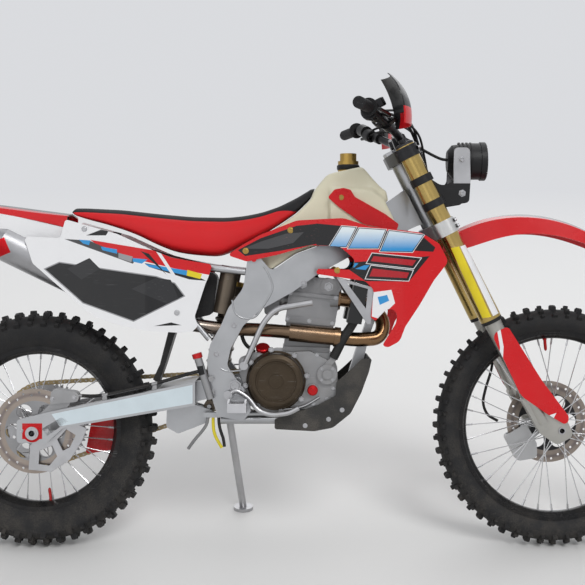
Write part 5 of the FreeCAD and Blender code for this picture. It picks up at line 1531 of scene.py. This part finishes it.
@dataclass
class OverflowHose:
    """A short rubber hose that hangs from its clip behind the cradle.

    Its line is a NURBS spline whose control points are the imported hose's own route.
    """

    name: str
    colour: Colour
    route: tuple
    diameter: float = 0.009

    def build(self) -> None:
        """The hose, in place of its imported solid."""
        curve = bpy.data.curves.new(f"{self.name}_hose", "CURVE")
        curve.dimensions = "3D"
        spline = curve.splines.new("NURBS")
        spline.points.add(len(self.route) - 1)
        line = lean(np.array(self.route, float))
        spline.points.foreach_set("co", np.hstack([line, np.ones((len(line), 1))]).ravel())
        spline.order_u = 3
        spline.use_endpoint_u = True
        spline.resolution_u = 12
        piece = placed(f"{self.name}_hose", curve)
        track = bpy.data.meshes.new_from_object(piece)
        length = float(np.linalg.norm(np.diff(mesh_points(track), axis=0), axis=1).sum())
        bpy.data.meshes.remove(track)
        curve.bevel_depth = self.diameter / 2
        curve.bevel_resolution = 4
        curve.use_fill_caps = True
        curve.materials.append(Finish(f"{self.name} rubber", self.colour, 0.5, depth=0.04,
                                      scuffs=0.1, dust=0.12).material())
        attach(piece, "chassis")
        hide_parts(self.name)
        log.info("%s: %.3f m long", self.name, length)


OVERFLOW_HOSES = (
    OverflowHose("overflow_grey", (0.20, 0.20, 0.205), (
        (-252, -72, 378), (-252, -72, 362), (-268, -73, 338), (-290, -74, 314), (-308, -71, 288))),
    OverflowHose("overflow_yellow", (0.70, 0.58, 0.03), (
        (-237, -72, 378), (-237, -72, 362), (-235, -74, 336), (-225, -77, 313), (-212, -75, 292))),
    OverflowHose("overflow_black", (0.015, 0.015, 0.016), (
        (-221, -72, 378), (-221, -72, 362), (-216, -70, 338), (-207, -69, 315), (-205, -69, 294))))


@dataclass
class Sprocket:
    """The rear sprocket: a toothed plate with round windows, and its bolts."""

    chain: Chain
    thickness: float = 6.0
    windows: int = 8
    bolts: int = 6

    def outline(self) -> Array:
        """The toothed edge: a circle whose radius falls to the roller's seat at each pin.

        The radius is the root's plus the tooth's height times a power of half of one less the
        cosine of the tooth's turn from the nearest pin.
        """
        teeth = self.chain.rear_teeth
        reach = self.chain.pitch / (2 * math.sin(math.pi / teeth))
        count = self.chain.links()
        pins, _ = self.chain.loop(np.arange(count) / count)
        behind = pins[np.argmin(pins[:, 0])] - REAR_AXLE
        phase = math.atan2(behind[2], behind[0])
        turns = even_turns(teeth * 10)
        wave = 0.5 - 0.5 * np.cos(teeth * (turns - phase))
        radius = reach - 5.6 + 11.0 * wave ** 1.4
        return np.stack([REAR_AXLE[0] + radius * np.cos(turns),
                         REAR_AXLE[2] + radius * np.sin(turns)], axis=1)

    def build(self) -> None:
        """The toothed plate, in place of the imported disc, and the bolts on it."""
        middle = REAR_AXLE[[0, 2]]
        turns = even_turns(self.windows)
        cuts = [(78, turn, 19, 24) for turn in turns] + [(0, 0.0, 16, 24)]
        cuts += [(103, turn + math.pi / self.windows, 5, 12) for turn in turns]
        holes = [middle + reach * np.array([math.cos(turn), math.sin(turn)]) + ring(sides, radius)
                 for reach, turn, radius, sides in cuts]
        start = self.chain.y - self.thickness / 2
        end = start + self.thickness
        make("rear_sprocket_teeth", plate(self.outline(), start, end, tuple(holes)), SPROCKET,
             "rear_wheel_set", "disc", ("rear_sprocket",), bevel=0.6, edge=30)
        Fastener("rear_sprocket_bolts", "disc", ring_of(middle, 48, end, self.bolts), 6.0, 5.0,
                 body="rear_wheel_set").build()


@dataclass
class Shock:
    """The shock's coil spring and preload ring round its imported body."""

    top: tuple = (-178.0, 4.0, 756.0)
    foot: tuple = (-236.0, 4.0, 480.0)
    radius: float = 31.5
    wire: float = 5.0
    turns: float = 9.0

    def build(self) -> None:
        """The spring, a helix of even pitch down the body's axis, and the ring on its top."""
        top, foot = np.array(self.top), np.array(self.foot)
        along = unit(foot - top)
        side = unit(np.cross(along, ALONG_Y))
        share = np.linspace(0, 1, int(self.turns * 28))[:, None]
        turn = 2 * math.pi * self.turns * share
        coil = (top + (foot - top) * share
                + self.radius * (np.cos(turn) * side + np.sin(turn) * np.cross(along, side)))
        make("shock_spring_coil", tube(coil, self.wire, 8, tuple(along)), SPRING, "chassis",
             "shock")
        lug = lathe([(0, 20), (0, 38), (12, 38), (12, 20)], top - along * 6, along, 48)
        make("shock_preload_ring", lug, CAP, "chassis", "shock", bevel=1.0)


@dataclass
class Headlight:
    """The lamp's glass, rim, ribs, screws and bolts on its imported bucket."""

    ahead: float = 103.0
    up: float = 819.0
    reach: float = 104.0
    radius: float = 53.0

    def build(self) -> None:
        """A fluted glass dome in a rim, and the small parts round it."""
        middle = on_fork([self.ahead, 0.0, self.up])
        r = self.radius
        share = np.linspace(0.02, 1, 22)
        dome = np.stack([self.reach + 7 * (1 - share ** 2) + 0.5 * np.cos(share * 42),
                         share * (r - 8)], axis=1)
        glass = np.concatenate([dome, [[self.reach - 2, r - 8], [self.reach - 2, 0.6]]])
        make("headlight_glass", lathe(glass, middle, ALONG_X, 72), LAMP_GLASS, "front_end",
             "black_plastic", edge=50)
        rim = [(self.reach - 10, r - 1), (self.reach - 10, r + 3), (self.reach + 5, r + 3),
               (self.reach + 8, r - 1), (self.reach + 7, r - 8), (self.reach - 1, r - 9)]
        make("headlight_rim", lathe(rim, middle, ALONG_X, 72), BLACK_PLASTIC, "front_end",
             "black_plastic", bevel=0.8)
        ribs = [lathe([(start, r - 2), (start, r + 2.2), (start + 4, r + 2.2), (start + 4, r - 2)],
                      middle, ALONG_X, 64) for start in self.reach - 72 + 11 * np.arange(4)]
        make("headlight_ribs", Shape.joined(ribs), BLACK_PLASTIC, "front_end", "black_plastic",
             bevel=0.5)
        heads = middle + np.insert(ring(8, r - 3.5), 0, self.reach + 6.0, axis=1)
        Fastener("headlight_screws", "black_plastic", heads, 2.4, 2.6, outward=ALONG_X,
                 body="front_end").build()
        for side, label in ((-1.0, "right"), (1.0, "left")):
            spots = middle + np.array([(34.0, side * 73.5, z) for z in (0.0, -96.0)])
            Fastener(f"headlight_bolts_{label}", "black_plastic", spots, 8.0, 6.0,
                     body="front_end").build()


@dataclass
class Fastener:
    """Bolt heads in upright places that face away from the bike's middle, or `outward`."""

    name: str
    slot: str
    places: tuple | Array
    radius: float = 5.5
    height: float = 4.5
    sides: int = 6
    finish: Finish = STEEL
    both: bool = False
    outward: Array | None = None
    body: str = "chassis"

    def build(self) -> None:
        """The heads, and their mirror image where both sides have them."""
        outward = self.outward
        if outward is None:
            outward = math.copysign(1.0, self.places[0][1]) * ALONG_Y
        shape = bolts(self.places, outward, self.radius, self.height, self.sides)
        make(self.name, shape, self.finish, self.body, self.slot, smooth=False, both=self.both)


def ring_of(middle: tuple, reach: float, y: float, count: int, phase: float = 0.5) -> tuple:
    """Places round a point on the side view.

    Args:
        middle: the point's x and z.
        reach: distance of the places from it.
        y: their distance to the left.
        count: number of places.
        phase: turn of the first, as a share of the angle between two.
    """
    turns = 2 * math.pi * (np.arange(count) + phase) / count
    return tuple((middle[0] + reach * math.cos(a), y, middle[1] + reach * math.sin(a))
                 for a in turns)


FASTENERS = (
    Fastener("clutch_cover_bolts", "cover_bronze",
             ring_of(CLUTCH, 88, -94, 8, 0.2), 6.0, 5.0),
    Fastener("ignition_cover_bolts", "cover_bronze",
             ring_of((22, 474), 54, 91, 6, 0.2), 4.5, 4.0),
    Fastener("pump_bolts", "engine_alloy", ring_of((86, 502), 22, -98, 4), 4.0, 4.0),
    Fastener("case_bolts_right", "engine_alloy", (
        (-124, -84, 446), (-96, -84, 414), (48, -84, 416), (86, -84, 430), (104, -84, 462),
        (98, -84, 540), (58, -84, 556), (-106, -84, 553), (-150, -84, 540)), 4.5, 5.0),
    Fastener("case_bolts_left", "engine_alloy", (
        (-120, 60, 440), (-96, 60, 416), (60, 60, 398), (100, 60, 430), (100, 60, 520),
        (-40, 60, 552), (-110, 60, 540)), 4.5, 5.0),
    Fastener("head_bolts", "engine_alloy", (
        (-26, -56, 657), (102, -56, 643), (36, -56, 650), (-18, -58, 731), (112, -58, 716)),
        5.0, 5.0, both=True),
    Fastener("cam_cover_bolts", "engine_alloy", ((18, -54, 756), (92, -54, 748)),
             10.0, 5.0, both=True),
    Fastener("frame_pivot_bolt", "frame_alloy", ((-173, -112, 471),), 14.0, 10.0,
             both=True),
    Fastener("frame_bolts", "frame_alloy", (
        (-225, -106, 560), (-176, -106, 640), (20, -106, 760)), 7.0, 6.0, both=True),
    Fastener("linkage_bolts", "frame_alloy", ((-345, -30, 352), (-300, -30, 350)),
             8.0, 7.0, both=True),
    Fastener("shroud_bolts", "red_plastic", (
        (-17, -124.7, 908), (-143, -114.7, 850), (113, -144.9, 796)), 6.5, 3.0, 16, CAP, True),
    Fastener("wing_bolts", "red_plastic", ((125, -110, 1000),), 5.5, 3.0, 16, CAP,
             True),
    Fastener("panel_bolts", "white_plastic", (
        (-592, -132, 911), (-335, -123.1, 677)), 6.0, 3.0, 16, STEEL, True),
    Fastener("skid_plate_bolts", "black_plastic", (
        (90, -100, 376), (24, -100, 358), (128, -100, 402)), 5.0, 3.0, 16, STEEL, True),
    Fastener("chain_adjuster_bolts", "frame_alloy", (
        (-772, -112, 345), (-700, -112, 345)), 4.5, 4.0, 6, STEEL, True),
    Fastener("rear_caliper_bolts", "caliper", (
        (-690, -92, 432), (-628, -92, 436)), 5.0, 4.0))


@dataclass
class Line:
    """A hose or cable that is fixed at both ends, drawn as one smooth tube.

    A forked one is drawn along the fork and rides on the front end, any other on the chassis.
    """

    name: str
    slot: str
    points: tuple
    radius: float
    finish: Finish
    forked: bool = False
    both: bool = False
    steps: int = 12

    def build(self) -> None:
        """The tube along a smooth curve through the line's points."""
        corners = np.array(self.points, float)
        path = smooth_path(on_fork(corners) if self.forked else corners,
                           self.steps * len(corners))
        shape = tube(path, self.radius, 12, (0.31, 0.2, 0.93))
        make(self.name, shape, self.finish, "front_end" if self.forked else "chassis",
             self.slot, both=self.both)


LINES = (
    Line("front_brake_hose", "caliper", (
        (-44, -212, 1010), (-4, -160, 1004), (36, -80, 968), (50, 20, 900), (46, 96, 770),
        (38, 133, 660), (36, 138, 562), (38, 138, 460), (36, 138, 370), (10, 140, 290),
        (-27, 132, 213), (-80, 108, 160), (-106, 96, 128), (-110, 91, 92), (-92, 87, 62)),
         4.2, HOSE, True),
    Line("clutch_cable", "clamp", (
        (-44, 214, 1010), (-10, 170, 1006), (34, 100, 985), (56, 30, 935), (44, -14, 870),
        (22, -20, 780), (6, -16, 700), (0, -15, 672)), 3.6, HOSE, True),
    Line("throttle_cable", "clamp", (
        (-62, -250, 1020), (-20, -190, 1018), (30, -110, 1000), (54, -36, 950), (46, 6, 880),
        (24, 12, 790), (8, 12, 704), (0, 12, 672)), 3.4, HOSE, True),
    Line("throttle_return_cable", "clamp", (
        (-70, -252, 1008), (-26, -196, 998), (24, -118, 978), (58, -40, 925), (52, 12, 860),
        (30, 24, 780), (12, 22, 700), (2, 22, 672)), 3.4, HOSE, True),
    Line("lamp_wires", "clamp", (
        (-60, 196, 1000), (0, 150, 985), (40, 84, 930), (62, 36, 880), (88, 8, 838),
        (106, 0, 822)), 4.4, HOSE, True),
    Line("lower_radiator_hose", "engine_alloy", (
        (104, -88, 548), (116, -92, 572), (132, -100, 604), (152, -106, 636), (164, -108, 656)),
         13.0, HOSE),
    Line("air_boot", "black_plastic", (
        (-90, 0, 724), (-104, 0, 725), (-120, 0, 727), (-136, 0, 729)), 27.0, HOSE),
    Line("breather_hose", "engine_alloy", (
        (-120, -40, 560), (-150, -46, 590), (-160, -44, 640), (-150, -40, 690),
        (-130, -38, 730)), 5.5, HOSE),
    Line("coil_wire", "engine_alloy", (
        (56, 0, 776), (70, -30, 792), (110, -38, 788), (150, -30, 800)), 4.0, HOSE),
    Line("frame_weld", "frame_alloy", (
        (-182, -105.6, 712), (-172, -105.6, 676), (-150, -105.6, 661), (-118, -105.6, 664),
        (-94, -105.6, 694), (-68, -105.6, 742), (-78, -105.6, 782), (-92, -105.6, 806)), 2.6,
         FRAME, both=True, steps=16),
    Line("pivot_weld", "frame_alloy", (
        (-214, -105.6, 520), (-196, -105.6, 512), (-160, -105.6, 514),
        (-140, -105.6, 526)), 2.4, FRAME, both=True),
    Line("oil_line", "engine_alloy", (
        (64, -86, 436), (20, -90, 412), (-30, -90, 404), (-70, -88, 406)), 3.6, STEEL))


@dataclass
class Cockpit:
    """Bar clamps, fork caps, switch boxes, the brake's reservoir and the radiator's cap."""

    def bar_clamps(self) -> Shape:
        """Two caps over the bar, on the upper clamp's posts."""
        frames = np.stack([np.stack([FORK_AHEAD, ALONG_Y, FORK_UP], axis=1)] * 2)
        places = on_fork([[0.0, -52.0, 912.0], [0.0, 52.0, 912.0]])
        return repeat(block(44, 26, 34, 0.88, 3.0), frames, places)

    def fork_caps(self) -> Shape:
        """A hexagon and a ring in the top of each leg."""
        caps = [lathe([(0, 1), (0, 22), (5, 22), (7, 18), (7, 11), (17, 11), (19, 9), (19, 1)],
                      on_fork([0.0, side * LEG_SPREAD, 912.0]), FORK_UP, 36)
                for side in (-1, 1)]
        return Shape.joined(caps)

    def boxes(self) -> Shape:
        """The throttle drum, the kill switch and the lamp's switch round the bar."""
        shapes = []
        for start, end, radius in (((-64, -256, 1030), (-60, -238, 1026), 23),
                                   ((-48, -206, 1005), (-42, -186, 995), 17),
                                   ((-48, 206, 1005), (-40, 180, 992), 19)):
            first, last = on_fork(start), on_fork(end)
            length = float(np.linalg.norm(last - first))
            shapes.append(lathe([(0, 12), (0, radius - 2), (2, radius), (length - 2, radius),
                                 (length, radius - 2), (length, 12)], first, last - first, 28))
        return Shape.joined(shapes)

    def build(self) -> None:
        """Each part of the cockpit and the caps near it."""
        make("bar_clamp_caps", self.bar_clamps(), CLAMP, "front_end", "clamp", bevel=1.5)
        spots = on_fork([[x, y, 946.0] for x in (-12.0, 12.0) for y in (-52.0, 52.0)])
        Fastener("bar_clamp_bolts", "clamp", spots, 5.0, 6.0, outward=FORK_UP,
                 body="front_end").build()
        make("fork_top_caps", self.fork_caps(), CLAMP, "front_end", "fork_gold", bevel=0.6)
        pinch = [[30.0, side * (LEG_SPREAD + reach), level] for side in (-1, 1)
                 for reach in (-22, 22) for level in (644.0, 662.0, 889.0)]
        Fastener("clamp_pinch_bolts", "clamp", on_fork(pinch), 5.0, 6.0, outward=FORK_AHEAD,
                 body="front_end").build()
        nut = lathe([(0, 11), (0, 20), (10, 20), (12, 17), (12, 11)],
                    on_fork([-36.0, 0.0, 906.0]), FORK_UP, 6)
        make("stem_nut", nut, STEEL, "front_end", "clamp", smooth=False, bevel=0.8)
        make("bar_switches", self.boxes(), BLACK_PLASTIC, "front_end", "black_plastic", bevel=1.0)
        levels = [[-22.0, -214.0, level] for level in (1028.0, 1030.0, 1050.0, 1052.0)]
        reservoir = tube(on_fork(levels), (14.0, 15.5, 15.5, 14.0), 6)
        make("brake_reservoir", reservoir, CLAMP, "front_end", "lever", smooth=False, bevel=1.5)
        cap = lathe([(0, 1), (0, 17), (3, 19), (8, 19), (11, 15), (11, 1)], (196, -112, 851),
                    ALONG_Z, 32)
        wing = tube([(176, -112, 858), (186, -112, 859), (206, -112, 859), (216, -112, 858)], 5, 10)
        make("radiator_cap", Shape.joined([cap, wing]), STEEL, "chassis", "radiator", bevel=0.6)


@dataclass
class Pressed:
    """A flat part of the chassis, cut from a plate between two distances to the left."""

    name: str
    finish: Finish
    slot: str
    outline: list
    start: float
    end: float
    holes: tuple = ()
    bevel: float = 0.8
    both: bool = False

    def build(self) -> None:
        """The plate, and its mirror image where both sides have it."""
        make(self.name, plate(self.outline, self.start, self.end, self.holes), self.finish,
             "chassis", self.slot, bevel=self.bevel, edge=30, both=self.both)


@dataclass
class Turned:
    """Small turned parts of the chassis: each profile turned round an axis at each place."""

    name: str
    finish: Finish
    slot: str
    profiles: tuple
    places: tuple
    axis: tuple = (0.0, -1.0, 0.0)
    steps: int = 32
    bevel: float = 0.0
    both: bool = False

    def build(self) -> None:
        """The parts as one piece, and their mirror image where both sides have them."""
        shapes = [lathe(profile, place, self.axis, self.steps)
                  for profile in self.profiles for place in self.places]
        make(self.name, Shape.joined(shapes), self.finish, "chassis", self.slot,
             bevel=self.bevel, both=self.both)


TRIM = (
    Pressed("fender_skirts", WHITE_PLASTIC, "white_plastic", [
        (-835, 896), (-835, 950), (-800, 949), (-650, 915), (-650, 884), (-700, 880)],
            -105, -101, both=True),
    Pressed("radiator_guards", STEEL, "radiator", [(110, 776), (214, 748), (206, 646), (196, 646)],
            -145.5, -142, ([(140, 760), (198, 744), (192, 690)],), both=True),
    Pressed("disc_guard", STEEL, "caliper", [
        (-752, 300), (-757, 232), (-692, 226), (-640, 260), (-606, 312), (-592, 348),
        (-640, 372), (-700, 368)], -91.5, -88, (
            [(-726, 286), (-728, 248), (-698, 244), (-676, 270), (-690, 300)],
            [(-676, 318), (-660, 286), (-640, 296), (-624, 330), (-650, 346)])),
    Pressed("disc_guard_stay", STEEL, "caliper", [
        (-700, 330), (-640, 372), (-660, 384), (-716, 350)], -112, -84.5, bevel=1.0),
    Turned("oil_filter_plug", RED_ANODISED, "engine_alloy", (
        [(0, 1), (0, 15), (6, 15), (9, 12), (9, 8), (12, 7), (12, 1)],), ((45, -93, 457),),
           bevel=0.5),
    Turned("clutch_cover_ears", BRONZE, "cover_bronze", (
        [(0, 1), (0, 7.5), (9, 7.5), (10, 6.5), (10, 1)],), ring_of(CLUTCH, 88, -84, 8, 0.2),
           steps=20),
    Turned("clutch_cover_rings", BRONZE, "cover_bronze", tuple(
        [(0, r - 1.2), (0, r + 1.2), (1.2, r + 0.8), (1.2, r - 0.8)] for r in (52.0, 20.0)),
           ((CLUTCH[0], -125.8, CLUTCH[1]),), steps=96),
    Turned("oil_filler", RED_ANODISED, "engine_alloy", (
        [(0, 1), (0, 17), (14, 15), (14, 19), (17, 20), (25, 20), (28, 17), (28, 1)],),
           ((-96, -58, 556),), (0, -0.55, 0.83), bevel=0.6),
    Turned("spark_plug_cap", BLACK_PLASTIC, "engine_alloy", (
        [(0, 1), (0, 13), (10, 13), (13, 8), (34, 7), (36, 5), (36, 1)],), ((56, 0, 742),),
           (0.05, 0, 1), 24),
    Turned("filler_collar", BLACK_PLASTIC, "cap", (
        [(0, 22), (0, 31), (4, 33), (13, 33), (16, 30), (16, 22)],), ((150, 0, 1084),),
           (0, 0, 1), 48, 1.0),
    Turned("rear_axle_washers", RED_ANODISED, "axle_steel", (
        [(0, 10.5), (0, 26), (2, 26), (2.4, 24), (2.4, 10.5)],),
           (REAR_AXLE - ARM_OUTER * ALONG_Y,), steps=48, both=True))


BACKDROP = (0.70, 0.71, 0.735)
FLOOR = (0.79, 0.785, 0.775)
SKY = (0.95, 0.97, 1.0)
SKY_STRENGTH = 0.42
FLOOR_RADIUS = 30.0
FADE_START = 3.0
FADE_WIDTH = 6.0
PHOTO_SIDE = 585
FOCAL_PIXELS = 1172
SHIFT_PIXELS = -34.5
SENSOR = 36.0
EYE = np.array([-11.6, -3400.0, 830.0])
LAMPS = (("key", (0.9, -2.2, 2.4), 1.25, 24.0), ("front", (-1.6, -2.4, 1.0), 0.40, 60.0),
         ("top", (0.2, 0.5, 2.0), 0.55, 50.0), ("back", (0.8, 2.4, 1.4), 0.45, 50.0))


def lamp_direction(place: tuple) -> tuple:
    """Turn of a lamp that shines from a place towards the origin."""
    return (math.atan2(math.hypot(place[0], place[1]), place[2]), 0.0,
            math.atan2(place[0], -place[1]))


def studio_world() -> None:
    """An even pale sky: one strength for the light and the backdrop's colour for the eye."""
    world = bpy.data.worlds.new("studio")
    bpy.context.scene.world = world
    world.use_nodes = True
    tree = world.node_tree
    light = tree.nodes["Background"]
    light.inputs["Color"].default_value = (*SKY, 1.0)
    light.inputs["Strength"].default_value = SKY_STRENGTH
    seen = tree.nodes.new("ShaderNodeBackground")
    seen.inputs["Color"].default_value = (*BACKDROP, 1.0)
    path = tree.nodes.new("ShaderNodeLightPath")
    eyes = calc(tree, "MAXIMUM", path.outputs["Is Camera Ray"],
                calc(tree, "MAXIMUM", path.outputs["Is Glossy Ray"],
                     path.outputs["Is Transmission Ray"]))
    mix = tree.nodes.new("ShaderNodeMixShader")
    for socket, output in zip(mix.inputs, (eyes, light.outputs[0], seen.outputs[0])):
        tree.links.new(output, socket)
    tree.links.new(mix.outputs[0], tree.nodes["World Output"].inputs[0])


def studio_floor() -> None:
    """A wide pale floor that keeps the bike's shadow and fades into the backdrop far off."""
    mesh = bpy.data.meshes.new("floor")
    rim = np.insert(ring(48, FLOOR_RADIUS), 2, 0.0, axis=1)
    mesh.from_pydata(rim.tolist(), [], [list(range(len(rim)))])
    floor = placed("floor", mesh)
    material = bpy.data.materials.new("studio floor")
    material.use_nodes = True
    tree = material.node_tree
    shader = tree.nodes["Principled BSDF"]
    place = tree.nodes.new("ShaderNodeTexCoord").outputs["Object"]
    patches = noise_field(tree, place, 1.1, 5.0)
    tint = tree.nodes.new("ShaderNodeMix")
    tint.data_type = "RGBA"
    feed(tree, tint.inputs[0], patches.outputs["Fac"])
    feed(tree, tint.inputs[6], tuple(0.97 * c for c in FLOOR))
    feed(tree, tint.inputs[7], FLOOR)
    tree.links.new(tint.outputs[2], shader.inputs["Base Color"])
    shader.inputs["Roughness"].default_value = 0.55
    shader.inputs["Specular IOR Level"].default_value = 0.25
    far = tree.nodes.new("ShaderNodeVectorMath")
    far.operation = "LENGTH"
    tree.links.new(place, far.inputs[0])
    fade = calc(tree, "MULTIPLY_ADD", far.outputs["Value"], 1 / FADE_WIDTH,
                -FADE_START / FADE_WIDTH, clamp=True)
    glow = tree.nodes.new("ShaderNodeEmission")
    glow.inputs["Color"].default_value = (*BACKDROP, 1.0)
    mix = tree.nodes.new("ShaderNodeMixShader")
    for socket, output in zip(mix.inputs, (fade, shader.outputs[0], glow.outputs[0])):
        tree.links.new(output, socket)
    tree.links.new(mix.outputs[0], tree.nodes["Material Output"].inputs["Surface"])
    mesh.materials.append(material)


def stage_and_camera() -> None:
    """The photograph's camera, leaned with the bike, and a plain pale studio."""
    camera = bpy.data.cameras.new("camera")
    camera.sensor_width = SENSOR
    camera.lens = SENSOR * FOCAL_PIXELS / PHOTO_SIDE
    camera.shift_y = SHIFT_PIXELS / PHOTO_SIDE
    eye = placed("camera", camera)
    eye.location = lean(EYE)
    eye.rotation_euler = (math.pi / 2 + LEAN_ANGLE, 0.0, 0.0)
    bpy.context.scene.camera = eye
    studio_world()
    studio_floor()
    for name, place, strength, spread in LAMPS:
        lamp = bpy.data.lights.new(name, "SUN")
        lamp.energy = strength
        lamp.angle = math.radians(spread)
        placed(name, lamp).rotation_euler = lamp_direction(place)


REAR_TREAD = mirrored_rows(Knob(19, 17, 25, 0.0, 13.5), Knob(0, 16, 30, 0.5, 13.5),
                           Knob(37, 16, 17, 0.5, 14.0), Knob(52, 17, 13, 0.0, 15.0),
                           Knob(53, 13, 10, 0.5, 13.0))
FRONT_TREAD = mirrored_rows(Knob(11, 15, 16, 0.0, 11.5), Knob(0, 13, 15, 0.5, 11.5),
                            Knob(26, 14, 13, 0.5, 12.0), Knob(36.5, 15, 10, 0.0, 12.5),
                            Knob(38, 10, 8, 0.5, 11.0))


PLAIN_NODES = (
    (FRAME, "frame_right frame_left steering_head down_tube linkage subframe"),
    (STEEL, "front_axle rear_axle footpegs brake_pedal shift_lever kick_lever side_stand"),
    (CASTING, "engine_case cylinder"), (BRONZE, "clutch_cover ignition_cover"),
    (RADIATOR, "radiators"), (CAP, "filler_cap"), (RED_PLASTIC, "tail_lamp chain_guide"),
    (BLACK_PLASTIC, "airbox mud_flap headlight"), (SKID, "skid_plate"), (SHOCK, "shock"),
    (CALIPER, "front_caliper"), (FORK_CAST, "fork_legs"), (CLAMP, "handlebar"), (GRIP, "grips"),
    (LEVER, "levers"))
PAINTED_NODES = (
    (shroud_paint, "shroud_right shroud_left"), (panel_paint, "side_panel_right side_panel_left"),
    (fork_paint, "fork_tubes"), (clamp_paint, "triple_clamps"), (guard_paint, "fork_guards"),
    (fender_paint, "front_fender"), (tail_paint, "rear_fender"), (swingarm_paint, "swingarm"),
    (handguard_paint, "hand_guards"), (pipe_paint, "exhaust_header"),
    (silencer_paint, "silencer"), (bracket_paint, "lamp_bracket"),
    (rear_brake_paint, "rear_caliper"))


def dress_nodes() -> None:
    """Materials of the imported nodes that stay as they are."""
    for finish, nodes in PLAIN_NODES:
        dress(finish, *nodes.split())
    for paint, nodes in PAINTED_NODES:
        dress(paint(), *nodes.split())
    dress(disc_paint("front disc steel", FRONT_AXLE, (0.03, 0.03, 0.032)), "front_disc")
    dress(disc_paint("rear disc steel", REAR_AXLE, (0.26, 0.26, 0.265)), "rear_disc")


def main() -> None:
    """Builds and dresses every sub-assembly in order."""
    logging.basicConfig(level=logging.INFO, format="%(name)s %(message)s")
    bpy.context.scene.view_settings.view_transform = "Standard"
    stage_and_camera()
    for hose in OVERFLOW_HOSES:
        hose.build()
    dress_nodes()
    Tyre("front_tyre_casing", "front_tyre", "front_wheel_set", FRONT_AXLE, 347, 84, 26, 277, 54,
         28, 13.0, FRONT_TREAD).build()
    Tyre("rear_tyre_casing", "rear_tyre", "rear_wheel_set", REAR_AXLE, 339, 118, 32, 239, 66,
         25, 15.0, REAR_TREAD).build()
    Wheel("front", "front_wheel_set", FRONT_AXLE, 277, 54, -50, 64, 10.3, 34, 95).build()
    Wheel("rear", "rear_wheel_set", REAR_AXLE, 239, 66, -72, 71, 12.8, 38, -82).build()
    chain = Chain()
    for assembly in (RoundedShell("tank_shell", "fuel_tank", "chassis", "tank", TANK, 5.0, 14),
                     chain, Sprocket(chain), Shock(), Seat(), Headlight(), Cockpit(), *TRIM,
                     *FASTENERS, *LINES):
        assembly.build()
    for name, axle, y in (("front", FRONT_AXLE, 77.0), ("rear", REAR_AXLE, -78.0)):
        Fastener(f"{name}_disc_bolts", "disc", ring_of(axle[[0, 2]], 33, y, 6), 5.0, 5.0,
                 body=f"{name}_wheel_set").build()


if __name__ == "__main__":
    main()
